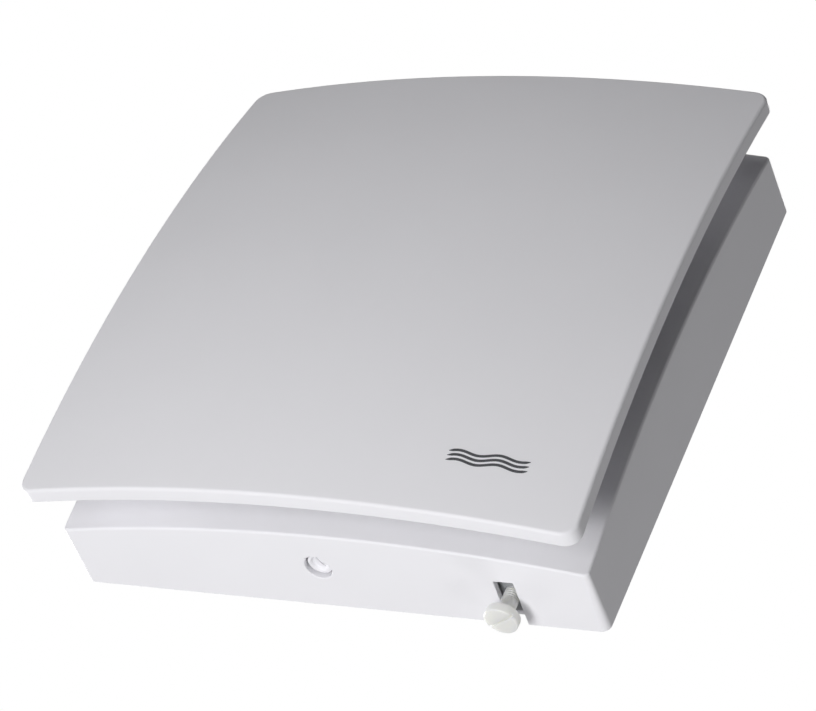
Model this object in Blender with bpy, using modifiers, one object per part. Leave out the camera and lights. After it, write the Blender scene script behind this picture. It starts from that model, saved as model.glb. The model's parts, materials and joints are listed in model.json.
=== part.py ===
"""A square room-side heat recovery unit for a wall duct, as separate pieces.

Metres, +Z up. The wall is the plane y = 0 and the room is towards -Y, so a
piece's depth is how far it stands out from the wall: y = -depth. The origin is
the centre of the duct in the wall's plane. Pieces behind the wall's plane have
negative depths.
"""

import math

import bmesh
import bpy
from mathutils import Matrix, Vector

# ---- driving dimensions -------------------------------------------------------

GAP = 0.0003  # kept between pieces that touch

PANEL_SIDE = 0.250
PANEL_CORNER = 0.0068
PANEL_APEX = 0.0808  # depth of the panel's middle
PANEL_DROP_X = 0.0105  # how far the crown falls at the sides
PANEL_DROP_Z = 0.01005  # and at the top and bottom
PANEL_RIM = 0.0070
PANEL_SKIN = 0.0025

HOUSING_BACK = 0.2402  # square outline at the wall
HOUSING_FRONT_X = 0.2391
HOUSING_FRONT_Z = 0.2373
HOUSING_CORNER = 0.003
HOUSING_APEX = 0.0497
HOUSING_DROP_X = 0.0097
HOUSING_DROP_Z = 0.0094
HOUSING_SKIN = 0.0023

PLATE_SIDE = 0.231
PLATE_THICK = 0.0025
WALL_SCREW_X, WALL_SCREW_Z = 0.102, 0.050

DUCT_RADIUS = 0.076  # outside of the spigot
DUCT_BORE = 0.0735
DUCT_REACH = 0.046  # how far the spigot goes into the wall
FLANGE_RADIUS = 0.088
SCREW_CIRCLE = 0.0835  # radius of the fan's screws and the shutter's guide pins

FAN_BORE = 0.0695
FAN_SEAT = 0.012  # depth of the ring that the shutter closes on
BLADES = 7
BLADE_TIP = 0.0679
BLADE_SWEEP, BLADE_SPAN = 0.30, 0.62  # radians that a blade leans forward at its tip, and covers
BLADE_RISE, BLADE_CAMBER = 0.0096, 0.0010
HUB_RADIUS = 0.022
SHAFT_RADIUS = 0.0015

SHUTTER_RADIUS = 0.077
SHUTTER_BACK = 0.0208
SHUTTER_THICK = 0.002
KNOB_X, KNOB_DEPTH = 0.0818, 0.013
KNOB_RADIUS, KNOB_THICK = 0.007, 0.004
KNOB_BOTTOM = -0.130
KNOB_SHANK = 0.0032
KNOB_SLOT_ANGLE = 56
NOTCH_WIDTH, NOTCH_END = 0.0083, 0.0232

LOCK_DEPTH = 0.0222
LOCK_HOLE = 0.0062
HOOK_X = 0.060  # the plate's upper hooks stand at plus and minus this
PLATE_SCREW_HOLE = 0.0019
PIN_HOLE = 0.0023
KEYHOLE_RADIUS, KEY_SLOT_HALF, KEY_SLOT_RISE = 0.0044, 0.0024, 0.0095
INLET_RADIUS = 0.006

POCKET_SIDE = 0.146  # filter pocket in the housing
POCKET_WALL = 0.002
POCKET_BACK = 0.031
POST_AT = 0.088  # the panel's posts stand at plus and minus this, both ways

BOX_X, BOX_Z = -0.090, 0.091  # middle of the control box
BOX_WIDTH, BOX_HEIGHT = 0.040, 0.038
BOX_BACK, BOX_FRONT = 0.0028, 0.022
INLET_X, INLET_Z = BOX_X - 0.006, BOX_Z - 0.006  # where the mains cable comes through the wall plate
LEAD_RADIUS, LEAD_DEPTH = 0.0009, 0.0112

MAT_SIDE, MAT_THICK = 0.150, 0.006  # sound mat behind the panel

BADGE_X, BADGE_Z = 0.0829, -0.0991
BADGE_WIDTH, BADGE_HEIGHT, BADGE_THICK = 0.0343, 0.0069, 0.0007

FOUR_CORNERS = ((1, 1), (-1, 1), (-1, -1), (1, -1))
SMOOTH_ANGLE = 35  # degrees between faces, above which an edge stays sharp
CROWN_CELLS = 10  # squares along a crowned surface
ROUND_SIDES = 40  # sides of the large round pieces
THROUGH = 0.010  # half the length of a cutter through a thin wall
CLAMPS = 3

# colour, roughness, metallic
FINISHES = {
    "white_plastic": ((0.76, 0.76, 0.79), 0.42, 0.0),
    "milky_nylon": ((0.72, 0.73, 0.69), 0.35, 0.0),
    "grey_plastic": ((0.30, 0.31, 0.32), 0.50, 0.0),
    "black_plastic": ((0.025, 0.025, 0.028), 0.45, 0.0),
    "dark_badge": ((0.13, 0.13, 0.14), 0.45, 0.0),
    "ceramic": ((0.62, 0.55, 0.45), 0.80, 0.0),
    "foam": ((0.045, 0.045, 0.05), 0.95, 0.0),
    "filter_fleece": ((0.80, 0.82, 0.80), 0.95, 0.0),
    "rubber": ((0.03, 0.03, 0.03), 0.70, 0.0),
    "steel": ((0.60, 0.60, 0.62), 0.30, 1.0),
    "copper_and_core": ((0.45, 0.22, 0.10), 0.40, 0.6),
    "magnet": ((0.12, 0.12, 0.13), 0.60, 0.2),
    "circuit_board": ((0.02, 0.16, 0.06), 0.50, 0.0),
    "terminal_green": ((0.05, 0.30, 0.12), 0.50, 0.0),
}

# ---- scene and helpers --------------------------------------------------------

for old in list(bpy.data.objects):
    bpy.data.objects.remove(old, do_unlink=True)

UNIT = bpy.data.collections.new("heat_recovery_unit")
CUTTERS = bpy.data.collections.new("cutters")
bpy.context.scene.collection.children.link(UNIT)
bpy.context.scene.collection.children.link(CUTTERS)


def material(finish):
    found = bpy.data.materials.get(finish)
    if found:
        return found
    colour, roughness, metallic = FINISHES[finish]
    made = bpy.data.materials.new(finish)
    made.use_nodes = True
    shader = made.node_tree.nodes["Principled BSDF"]
    shader.inputs["Base Color"].default_value = (*colour, 1.0)
    shader.inputs["Roughness"].default_value = roughness
    shader.inputs["Metallic"].default_value = metallic
    made.diffuse_color = (*colour, 1.0)
    return made


def link(name, bm, finish):
    """A new object of this mesh: a piece in its finish, or a helper when finish is None."""
    mesh = bpy.data.meshes.new(name)
    bm.to_mesh(mesh)
    bm.free()
    obj = bpy.data.objects.new(name, mesh)
    if finish is None:
        CUTTERS.objects.link(obj)
        obj.hide_render = True
        obj.display_type = "WIRE"
    else:
        UNIT.objects.link(obj)
        mesh.materials.append(material(finish))
        mesh.shade_smooth()
        mesh.set_sharp_from_angle(angle=math.radians(SMOOTH_ANGLE))
    return obj


def slab(name, finish, width, height, back, front, x=0.0, z=0.0, corner=0.0, rounds=5, ends=None):
    """A box between two depths, its corners rounded in the wall's plane; ends is its size at the front."""
    bm = bmesh.new()
    bmesh.ops.create_cube(bm, size=1.0)
    bmesh.ops.scale(bm, vec=(width, front - back, height), verts=bm.verts)
    if corner:
        along = [e for e in bm.edges if abs(e.verts[0].co.y - e.verts[1].co.y) > 1e-6]
        bmesh.ops.bevel(bm, geom=along, offset=corner, segments=rounds, profile=0.5, affect="EDGES")
    if ends:
        nearest = [v for v in bm.verts if v.co.y < 0]
        bmesh.ops.scale(bm, vec=(ends[0] / width, 1.0, ends[1] / height), verts=nearest)
    obj = link(name, bm, finish)
    obj.location = (x, -(back + front) / 2, z)
    return obj


def block(name, low, high):
    """A helper box between two corners, each (x, depth, z)."""
    size = [b - a for a, b in zip(low, high)]
    middle = [(a + b) / 2 for a, b in zip(low, high)]
    return slab(name, None, size[0], size[2], low[1], high[1], middle[0], middle[2])


def rod(name, finish, radius, back, front, x=0.0, z=0.0, sides=24):
    """A cylinder along the depth."""
    bm = bmesh.new()
    bmesh.ops.create_cone(
        bm, cap_ends=True, segments=sides, radius1=radius, radius2=radius, depth=front - back
    )
    obj = link(name, bm, finish)
    obj.rotation_euler = (math.pi / 2, 0, 0)
    obj.location = (x, -(back + front) / 2, z)
    return obj


def upright_rod(name, radius, low, high, x, depth, sides=24):
    """A helper cylinder along Z."""
    bm = bmesh.new()
    bmesh.ops.create_cone(
        bm, cap_ends=True, segments=sides, radius1=radius, radius2=radius, depth=high - low
    )
    obj = link(name, bm, None)
    obj.location = (x, -depth, (low + high) / 2)
    return obj


def turned(name, finish, profile, sides=32, x=0.0, z=0.0, closed=True, upright=None):
    """A profile of (radius, height) turned round its axis, which lies along the depth, or along Z
    through the place upright gives. The profile runs down its outer side."""
    bm = bmesh.new()
    points = [bm.verts.new((radius, 0.0, height)) for radius, height in profile]
    for first, second in zip(points, points[1:]):
        bm.edges.new((first, second))
    if closed:
        bm.edges.new((points[-1], points[0]))
    obj = link(name, bm, finish)
    if upright:
        obj.location = upright
    else:
        obj.rotation_euler = (math.pi / 2, 0, 0)
        obj.location = (x, 0, z)
    screw = obj.modifiers.new("turn", "SCREW")
    screw.steps = screw.render_steps = sides
    screw.use_merge_vertices = True
    screw.merge_threshold = 1e-5
    screw.use_smooth_shade = True
    return obj


def crown(name, finish, apex, drops, spans, thickness, cells):
    """A crowned sheet with its back side at this thickness: its depth is the apex less a
    parabola each way that falls by drops at half of spans. It is larger than spans."""
    bm = bmesh.new()
    reach = max(spans) / 2 * 1.06
    bmesh.ops.create_grid(bm, x_segments=cells, y_segments=cells, size=reach)
    for v in bm.verts:
        x, z = v.co.x, v.co.y
        fall = drops[0] * (2 * x / spans[0]) ** 2 + drops[1] * (2 * z / spans[1]) ** 2
        v.co = (x, fall - apex, z)
    obj = link(name, bm, finish)
    sheet = obj.modifiers.new("thickness", "SOLIDIFY")
    sheet.thickness = thickness
    sheet.offset = -1.0
    return obj


def combine(obj, other, how):
    boolean = obj.modifiers.new(f"{how.lower()} {other.name}"[:60], "BOOLEAN")
    boolean.operation = how
    boolean.solver = "EXACT"
    boolean.object = other


def cut(obj, *others):
    for other in others:
        combine(obj, other, "DIFFERENCE")


def join(obj, *others):
    for other in others:
        combine(obj, other, "UNION")


def keep(obj, other):
    combine(obj, other, "INTERSECT")


def around(count, first, radius):
    """Places round the duct's axis: (angle, x, z) for each."""
    for n in range(count):
        angle = math.radians(first + 360 * n / count)
        yield angle, radius * math.cos(angle), radius * math.sin(angle)


def spoke(name, angle, inner, outer, width, back, front):
    """A helper bar that runs outwards from the duct's axis."""
    bar = slab(name, None, outer - inner, width, back, front)
    middle = (inner + outer) / 2
    bar.location.x = middle * math.cos(angle)
    bar.location.z = middle * math.sin(angle)
    bar.rotation_euler = (0, -angle, 0)
    return bar


# ---- what is fixed to the wall ------------------------------------------------


def wall_plate():
    half = PLATE_SIDE / 2
    plate = slab("wall_plate", "white_plastic", PLATE_SIDE, PLATE_SIDE, 0, PLATE_THICK, corner=0.006)
    cut(plate, rod("plate_bore", None, DUCT_RADIUS + 0.0005, -THROUGH, THROUGH, sides=ROUND_SIDES))
    for n, (side, up) in enumerate(FOUR_CORNERS, 1):
        x, z = side * WALL_SCREW_X, up * WALL_SCREW_Z
        cut(plate, rod(f"keyhole_{n}", None, KEYHOLE_RADIUS, -THROUGH, THROUGH, x, z, sides=16))
        low, high = (x - KEY_SLOT_HALF, -THROUGH, z), (x + KEY_SLOT_HALF, THROUGH, z + KEY_SLOT_RISE)
        cut(plate, block(f"key_slot_{n}", low, high))
    for n, (_, x, z) in enumerate(around(4, 45, SCREW_CIRCLE), 1):
        cut(plate, rod(f"plate_screw_hole_{n}", None, PLATE_SCREW_HOLE, -THROUGH, THROUGH, x, z, sides=12))
    cut(plate, rod("plate_inlet", None, INLET_RADIUS, -THROUGH, THROUGH, INLET_X, INLET_Z, sides=20))
    lug = block("lock_lug", (-0.009, 0.002, -0.1115), (0.009, 0.029, -0.102))
    join(plate, lug)
    cut(plate, upright_rod("lug_bore", 0.0029, -0.12, -0.09, 0, LOCK_DEPTH))
    hook_back, hook_front, hook_half = 0.0056, 0.008, 0.008
    for side in (-1, 1):
        left, right = side * HOOK_X - hook_half, side * HOOK_X + hook_half
        foot = block(f"hook_foot_{side}", (left, 0.002, half - 0.0065), (right, hook_front, half - 0.0025))
        lip = block(f"hook_lip_{side}", (left, hook_back, half - 0.003), (right, hook_front, half + 0.0011))
        join(plate, foot, lip)


def spigot():
    flange_back, flange_front = 0.0046, 0.007
    profile = (
        (FLANGE_RADIUS, flange_front),
        (FLANGE_RADIUS, flange_back),
        (DUCT_RADIUS, flange_back),
        (DUCT_RADIUS, -DUCT_REACH + 0.001),
        (DUCT_RADIUS - 0.001, -DUCT_REACH),
        (DUCT_BORE, -DUCT_REACH),
        (DUCT_BORE, -0.040),
        (0.069, -0.040),
        (0.069, -0.0384),
        (DUCT_BORE, -0.0384),
        (DUCT_BORE, flange_front),
    )
    tube = turned("duct_spigot", "white_plastic", profile, sides=ROUND_SIDES)
    for n, (_, x, z) in enumerate(around(4, 45, SCREW_CIRCLE), 1):
        cut(tube, rod(f"flange_screw_hole_{n}", None, PLATE_SCREW_HOLE, 0, THROUGH, x, z, sides=12))
    gasket = ((0.0805, 0.0043), (0.0805, 0.0028), (0.0770, 0.0028), (0.0770, 0.0043))
    turned("flange_gasket", "foam", gasket, sides=ROUND_SIDES)
    lip, root, bore = 0.0790, 0.0774, DUCT_RADIUS + GAP
    seal = (
        (root, -0.0282),
        (lip, -0.0318),
        (root, -0.0318),
        (root, -0.0338),
        (bore, -0.0338),
        (bore, -0.0282),
    )
    turned("spigot_seal", "rubber", seal, sides=ROUND_SIDES)


def regenerator():
    back, front = -0.0381, -0.0140
    core, outer = 0.0702, DUCT_BORE - GAP
    rod("regenerator_core", "ceramic", core, back, front, sides=ROUND_SIDES)
    inner = core + GAP
    sleeve = ((outer, front), (outer, back), (inner, back), (inner, front))
    turned("core_sleeve", "foam", sleeve, sides=ROUND_SIDES)
    ring_back, ring_front = front + GAP, front + GAP + 0.002
    rim = ((outer, ring_front), (outer, ring_back), (0.064, ring_back), (0.064, ring_front))
    retainer = turned("core_retainer", "grey_plastic", rim, sides=ROUND_SIDES)
    for n, angle in enumerate((0, math.pi / 2)):
        bar = slab(f"retainer_bar_{n}", None, 0.134, 0.005, ring_back, ring_front)
        bar.rotation_euler = (0, -angle, 0)
        join(retainer, bar)


# ---- fan ----------------------------------------------------------------------


def fan_frame():
    outer, flange_back, flange_front = DUCT_BORE - 0.0006, 0.0073, 0.0098
    profile = (
        (outer, FAN_SEAT),
        (outer, flange_front),
        (FLANGE_RADIUS, flange_front),
        (FLANGE_RADIUS, flange_back),
        (outer, flange_back),
        (outer, -0.010),
        (FAN_BORE, -0.010),
        (FAN_BORE, FAN_SEAT),
    )
    frame = turned("fan_frame", "black_plastic", profile, sides=ROUND_SIDES)
    base_back, base_front = 0.0076, 0.010
    tube = (
        (0.0, base_front),
        (0.020, base_front),
        (0.020, base_back),
        (0.0056, base_back),
        (0.0056, -0.004),
        (0.0042, -0.004),
        (0.0042, 0.0088),
        (0.0, 0.0088),
    )
    base = turned("motor_base", None, tube, sides=32, closed=False)
    join(frame, base)
    for n, (angle, _, _) in enumerate(around(3, 0, 1.0), 1):
        strut = spoke(f"strut_{n}", angle, 0.018, 0.0715, 0.004, base_back + 0.0001, base_front - 0.0001)
        join(frame, strut)
    for n, (_, x, z) in enumerate(around(4, 45, SCREW_CIRCLE), 1):
        cut(frame, rod(f"frame_screw_hole_{n}", None, PLATE_SCREW_HOLE, 0, 0.02, x, z, sides=12))
    for n, (_, x, z) in enumerate(around(3, 90, SCREW_CIRCLE), 1):
        cut(frame, rod(f"pin_hole_{n}", None, PIN_HOLE, 0, 0.02, x, z, sides=12))
    notch = spoke("lead_notch", math.radians(120), 0.0685, 0.0745, 0.0028, 0.0100, 0.0130)
    cut(frame, notch)


def motor():
    outer, inner, back, front = 0.0170, 0.0059, -0.0032, 0.0064
    ring = ((outer, front), (outer, back), (inner, back), (inner, front))
    stator = turned("motor_stator", "copper_and_core", ring, sides=24)
    for n, (angle, _, _) in enumerate(around(6, 30, 1.0), 1):
        cut(stator, spoke(f"winding_gap_{n}", angle, 0.0095, 0.019, 0.0024, -0.01, 0.02))
    magnet = ((0.0198, 0.006), (0.0198, -0.004), (0.0176, -0.004), (0.0176, 0.006))
    turned("rotor_magnet", "magnet", magnet, sides=24)
    rod("rotor_shaft", "steel", SHAFT_RADIUS, -0.0068, 0.0082, sides=16)
    inner, outer, width = SHAFT_RADIUS + GAP, 0.0039, 0.0025
    for name, back in (("bearing_rear", -0.0037), ("bearing_front", 0.0052)):
        front = back + width
        race = ((outer, front), (outer, back), (inner, back), (inner, front))
        turned(name, "steel", race, sides=20)


def impeller():
    cup, wall, back, front = HUB_RADIUS, 0.0201, -0.007, 0.007
    bore = SHAFT_RADIUS + GAP
    profile = (
        (cup, front),
        (cup, back + 0.002),
        (cup - 0.0006, back + 0.0006),
        (cup - 0.002, back),
        (bore, back),
        (bore, back + 0.002),
        (wall, back + 0.002),
        (wall, front),
    )
    hub = turned("impeller", "black_plastic", profile, sides=35)
    bm = bmesh.new()
    along, across, root = 5, 4, 0.0212
    for n in range(BLADES):
        grid = bmesh.ops.create_grid(bm, x_segments=along, y_segments=across, size=0.5)
        for v in grid["verts"]:
            out, chord = v.co.x + 0.5, v.co.y
            radius = root + out * (BLADE_TIP - root)
            sweep = BLADE_SWEEP * out * out
            angle = 2 * math.pi * n / BLADES + sweep + chord * (BLADE_SPAN - 0.08 * out)
            rise = BLADE_RISE * chord * (1 - 0.30 * out)
            depth = rise - 0.0004 + BLADE_CAMBER * (0.25 - chord * chord)
            v.co = (radius * math.cos(angle), -depth, radius * math.sin(angle))
    blades = link("blades", bm, None)
    sheet = blades.modifiers.new("thickness", "SOLIDIFY")
    sheet.thickness = 0.0014
    sheet.offset = 0.0
    join(hub, blades)


def fan_fasteners():
    head, shank, slot = 0.0032, 0.0016, 0.0009
    profile = (
        (0.0, 0.0123),
        (0.0018, 0.0122),
        (head - 0.0004, 0.0114),
        (head, 0.0101),
        (shank, 0.0101),
        (shank, 0.0014),
        (0.0, 0.0006),
    )
    for n, (_, x, z) in enumerate(around(4, 45, SCREW_CIRCLE), 1):
        screw = turned(f"fan_screw_{n}", "steel", profile, sides=10, x=x, z=z, closed=False)
        bar = block(f"drive_{n}", (x - 0.002, 0.0112, z - slot / 2), (x + 0.002, 0.014, z + slot / 2))
        cut(screw, bar)
    pin = (
        (0.0, 0.0305),
        (0.0015, 0.0305),
        (0.0020, 0.0298),
        (0.0020, 0.0111),
        (0.0034, 0.0111),
        (0.0034, 0.0101),
        (0.0020, 0.0101),
        (0.0020, 0.0076),
        (0.0, 0.0076),
    )
    for n, (_, x, z) in enumerate(around(3, 90, SCREW_CIRCLE), 1):
        turned(f"guide_pin_{n}", "steel", pin, sides=10, x=x, z=z, closed=False)


# ---- shutter, its knob and the lock -------------------------------------------


def shutter():
    back, front = SHUTTER_BACK, SHUTTER_BACK + SHUTTER_THICK
    plate = rod("shutter_plate", "white_plastic", SHUTTER_RADIUS, back, front, sides=ROUND_SIDES)
    for n, (angle, x, z) in enumerate(around(3, 90, SCREW_CIRCLE), 1):
        join(plate, spoke(f"ear_{n}", angle, 0.070, SCREW_CIRCLE, 0.008, back + 0.0001, front - 0.0001))
        join(plate, rod(f"guide_sleeve_{n}", None, 0.0048, back - 0.0035, front, x, z, sides=20))
        cut(plate, rod(f"guide_bore_{n}", None, 0.0024, 0.01, 0.03, x, z, sides=16))
    low, top = -0.115, -0.104
    start, end = Vector((0.046, -0.052)), Vector((KNOB_X, low + 0.004))
    run = end - start
    arm = slab("arm", None, run.length, 0.012, back + 0.0001, front - 0.0001)
    middle = (start + end) / 2
    arm.location.x, arm.location.z = middle
    arm.rotation_euler = (0, -math.atan2(run.y, run.x), 0)
    join(plate, arm)
    nut = block("knob_nut", (KNOB_X - 0.006, 0.008, low), (KNOB_X + 0.006, front, top))
    join(plate, nut)
    bore = upright_rod("nut_bore", KNOB_SHANK + GAP, low - 0.01, top + 0.01, KNOB_X, KNOB_DEPTH)
    cut(plate, bore)
    seal_back, seal_front = back - GAP - 0.0033, back - GAP
    ring = ((0.0755, seal_front), (0.0755, seal_back), (0.0660, seal_back), (0.0660, seal_front))
    turned("shutter_seal", "foam", ring, sides=ROUND_SIDES)


def knob():
    top = KNOB_THICK
    profile = (
        (0.0, 0.0240),
        (0.0022, 0.0240),
        (KNOB_SHANK, 0.0230),
        (KNOB_SHANK, top),
        (KNOB_RADIUS - 0.0004, top),
        (KNOB_RADIUS, top - 0.0004),
        (KNOB_RADIUS, 0.0005),
        (KNOB_RADIUS - 0.0005, 0.0),
        (0.0, 0.0),
    )
    place = (KNOB_X, -KNOB_DEPTH, KNOB_BOTTOM)
    screw = turned("thumb_knob", "milky_nylon", profile, sides=20, closed=False, upright=place)
    slot = block(
        "knob_slot",
        (KNOB_X - 0.0007, KNOB_DEPTH - 0.01, KNOB_BOTTOM - 0.001),
        (KNOB_X + 0.0007, KNOB_DEPTH + 0.01, KNOB_BOTTOM + 0.0012),
    )
    slot.rotation_euler = (0, 0, math.radians(KNOB_SLOT_ANGLE))
    cut(screw, slot)


def lock_screw():
    bottom, seat, tip = -0.1160, -0.1137, -0.1030
    profile = (
        (0.0, tip),
        (0.0018, tip),
        (0.0025, tip - 0.001),
        (0.0025, seat),
        (0.0053, seat),
        (0.0053, bottom + 0.0003),
        (0.0050, bottom),
        (0.0041, bottom),
        (0.0035, bottom + 0.0012),
        (0.0, bottom + 0.0012),
    )
    place = (0, -LOCK_DEPTH, 0)
    screw = turned("lock_screw", "white_plastic", profile, sides=16, closed=False, upright=place)
    slot = block(
        "lock_slot",
        (-0.0005, LOCK_DEPTH - 0.0030, bottom - 0.001),
        (0.0005, LOCK_DEPTH + 0.0030, bottom + 0.0018),
    )
    slot.rotation_euler = (0, 0, math.radians(-30))
    cut(screw, slot)


# ---- housing and filter -------------------------------------------------------


def housing():
    drops, spans = (HOUSING_DROP_X, HOUSING_DROP_Z), (HOUSING_FRONT_X, HOUSING_FRONT_Z)
    ends, corner = (HOUSING_FRONT_X, HOUSING_FRONT_Z), HOUSING_CORNER
    drafted, beyond = 0.040, 0.060  # depths where the walls stop tapering, and past the crown
    shell = slab(
        "housing_shell", "white_plastic", HOUSING_BACK, HOUSING_BACK, 0, drafted, corner=corner, ends=ends
    )
    join(shell, slab("housing_nose", None, *ends, drafted - 0.0001, beyond, corner=corner))
    keep(shell, crown("housing_crown", None, HOUSING_APEX, drops, spans, 0.080, CROWN_CELLS))

    inner_corner = corner - HOUSING_SKIN / 2
    inner_back = HOUSING_BACK - 2 * HOUSING_SKIN
    inner_ends = [end - 2 * HOUSING_SKIN for end in ends]
    hollow = slab(
        "hollow", None, inner_back, inner_back, 0, drafted, corner=inner_corner, ends=inner_ends
    )
    mouth = slab("hollow_mouth", None, inner_back, inner_back, -THROUGH, 0.0005, corner=inner_corner)
    nose = slab("hollow_nose", None, *inner_ends, drafted - 0.0001, beyond, corner=inner_corner)
    join(hollow, mouth, nose)
    under = HOUSING_APEX - HOUSING_SKIN
    keep(hollow, crown("inner_crown", None, under, drops, spans, 0.080, CROWN_CELLS))
    pocket = POCKET_SIDE + 2 * POCKET_WALL
    cut(hollow, slab("pocket_block", None, pocket, pocket, POCKET_BACK, 0.070, corner=0.006))
    cut(hollow, upright_rod("lock_cup", 0.0078, -0.125, -0.1122, 0, LOCK_DEPTH, sides=20))
    for side in (-1, 1):
        left, right = side * HOOK_X - 0.006, side * HOOK_X + 0.006
        cut(hollow, block(f"hook_rib_{side}", (left, 0.0029, 0.1141), (right, 0.0053, 0.130)))
    cut(shell, hollow)

    ledge_front, ledge_wide = POCKET_BACK + 0.0012, 0.005
    cut(shell, slab("pocket", None, POCKET_SIDE, POCKET_SIDE, ledge_front, 0.070, corner=0.004))
    window = POCKET_SIDE - 2 * ledge_wide
    cut(shell, slab("window", None, window, window, POCKET_BACK - 0.005, 0.070, corner=0.003))
    cut(shell, upright_rod("lock_mouth", LOCK_HOLE, -0.130, -0.1134, 0, LOCK_DEPTH, sides=24))
    cut(shell, upright_rod("lock_bore", 0.0029, -0.130, -0.110, 0, LOCK_DEPTH, sides=16))
    cut(shell, slab("knob_notch", None, NOTCH_WIDTH, 0.030, -THROUGH, NOTCH_END, KNOB_X, -0.125))
    for n, (side, up) in enumerate(FOUR_CORNERS, 1):
        hole = rod(f"socket_hole_{n}", None, 0.0073, 0.02, 0.06, side * POST_AT, up * POST_AT)
        cut(shell, hole)


def sockets():
    profile = (
        (0.0062, 0.0415),
        (0.0069, 0.0409),
        (0.0069, 0.0347),
        (0.0095, 0.0347),
        (0.0095, 0.0325),
        (0.0044, 0.0325),
        (0.0044, 0.0415),
    )
    for n, (side, up) in enumerate(FOUR_CORNERS, 1):
        x, z = side * POST_AT, up * POST_AT
        turned(f"post_socket_{n}", "grey_plastic", profile, sides=12, x=x, z=z)


def air_filter():
    side, back, front, rim, bar = 0.144, 0.0325, 0.0388, 0.0065, 0.004
    frame = slab("filter_frame", "grey_plastic", side, side, back, front, corner=0.003)
    inside = side - 2 * rim
    cut(frame, slab("mat_room", None, inside, inside, back + 0.0012, front + 0.01, corner=0.002))
    pane = (inside - bar) / 2
    for n, (across, up) in enumerate(FOUR_CORNERS, 1):
        x, z = across * (pane + bar) / 2, up * (pane + bar) / 2
        cut(frame, slab(f"pane_{n}", None, pane, pane, back - 0.01, front + 0.01, x, z, corner=0.002))
    low, high = (-0.012, front - 0.001, -side / 2 + 0.002), (0.012, front + 0.0035, -side / 2 + 0.0045)
    join(frame, block("pull_tab", low, high))
    mat = inside - 0.001
    slab("filter_mat", "filter_fleece", mat, mat, back + 0.0015, front - 0.0004, corner=0.002)


# ---- front panel --------------------------------------------------------------


def front_panel():
    drops, spans = (PANEL_DROP_X, PANEL_DROP_Z), (PANEL_SIDE, PANEL_SIDE)
    panel = crown("front_panel", "white_plastic", PANEL_APEX, drops, spans, PANEL_RIM, CROWN_CELLS)
    behind, before = 0.03, 0.10  # depths behind and in front of the whole panel
    keep(panel, slab("outline", None, PANEL_SIDE, PANEL_SIDE, behind, before, corner=PANEL_CORNER))
    inside, corner = PANEL_SIDE - 2 * PANEL_SKIN, PANEL_CORNER - PANEL_SKIN
    under = PANEL_APEX - PANEL_SKIN
    cavity = crown("panel_cavity", None, under, drops, spans, 0.02, CROWN_CELLS)
    keep(cavity, slab("cavity_outline", None, inside, inside, behind, before, corner=corner))
    cut(panel, cavity)
    for n, (side, up) in enumerate(FOUR_CORNERS, 1):
        x, z = side * POST_AT, up * POST_AT
        join(panel, rod(f"post_boss_{n}", None, 0.006, 0.066, 0.0692, x, z, sides=20))
        cut(panel, rod(f"boss_bore_{n}", None, 0.0023, 0.060, 0.0688, x, z, sides=16))
    cut(panel, badge_plate("badge_pocket", None, -BADGE_THICK - GAP, 0.005, GAP))
    badge_plate("badge", "dark_badge", -BADGE_THICK, 0.0, 0.0)
    sheet = crown("sound_mat", "foam", under - GAP, drops, spans, MAT_THICK, 6)
    keep(sheet, slab("mat_outline", None, MAT_SIDE, MAT_SIDE, behind, before, corner=0.006, rounds=3))


def badge_plate(name, finish, low, high, margin):
    """A plate in the panel's front that faces along the crown's normal there, between two
    heights from the surface."""
    slope_x = PANEL_DROP_X * 8 * BADGE_X / PANEL_SIDE**2
    slope_z = PANEL_DROP_Z * 8 * BADGE_Z / PANEL_SIDE**2
    surface = PANEL_APEX - PANEL_DROP_X * (2 * BADGE_X / PANEL_SIDE) ** 2
    surface -= PANEL_DROP_Z * (2 * BADGE_Z / PANEL_SIDE) ** 2
    width, height, half = BADGE_WIDTH + 2 * margin, BADGE_HEIGHT + 2 * margin, (high - low) / 2
    plate = slab(name, finish, width, height, -half, half, corner=0.001, rounds=3)
    outward = Vector((slope_x, -1.0, slope_z)).normalized()
    right = Vector((1.0, slope_x, 0.0)).normalized()
    plate.rotation_euler = Matrix((right, -outward, outward.cross(right))).transposed().to_euler()
    plate.location = Vector((BADGE_X, -surface, BADGE_Z)) + outward * (low + high) / 2
    return plate


def panel_posts():
    profile = (
        (0.0, 0.0682),
        (0.0020, 0.0682),
        (0.0020, 0.0657),
        (0.0070, 0.0657),
        (0.0070, 0.0640),
        (0.0038, 0.0615),
        (0.0038, 0.0385),
        (0.0041, 0.0370),
        (0.0041, 0.0355),
        (0.0036, 0.0340),
        (0.0025, 0.0325),
        (0.0, 0.0325),
    )
    for n, (side, up) in enumerate(FOUR_CORNERS, 1):
        x, z = side * POST_AT, up * POST_AT
        turned(f"panel_post_{n}", "white_plastic", profile, sides=12, x=x, z=z, closed=False)


# ---- electronics --------------------------------------------------------------


def box_slab(name, finish, back, front, inset=0.0, corner=0.002):
    """A slab on the control box's outline, smaller by inset on each side."""
    width, height = BOX_WIDTH - 2 * inset, BOX_HEIGHT - 2 * inset
    return slab(name, finish, width, height, back, front, BOX_X, BOX_Z, corner=corner, rounds=3)


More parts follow.
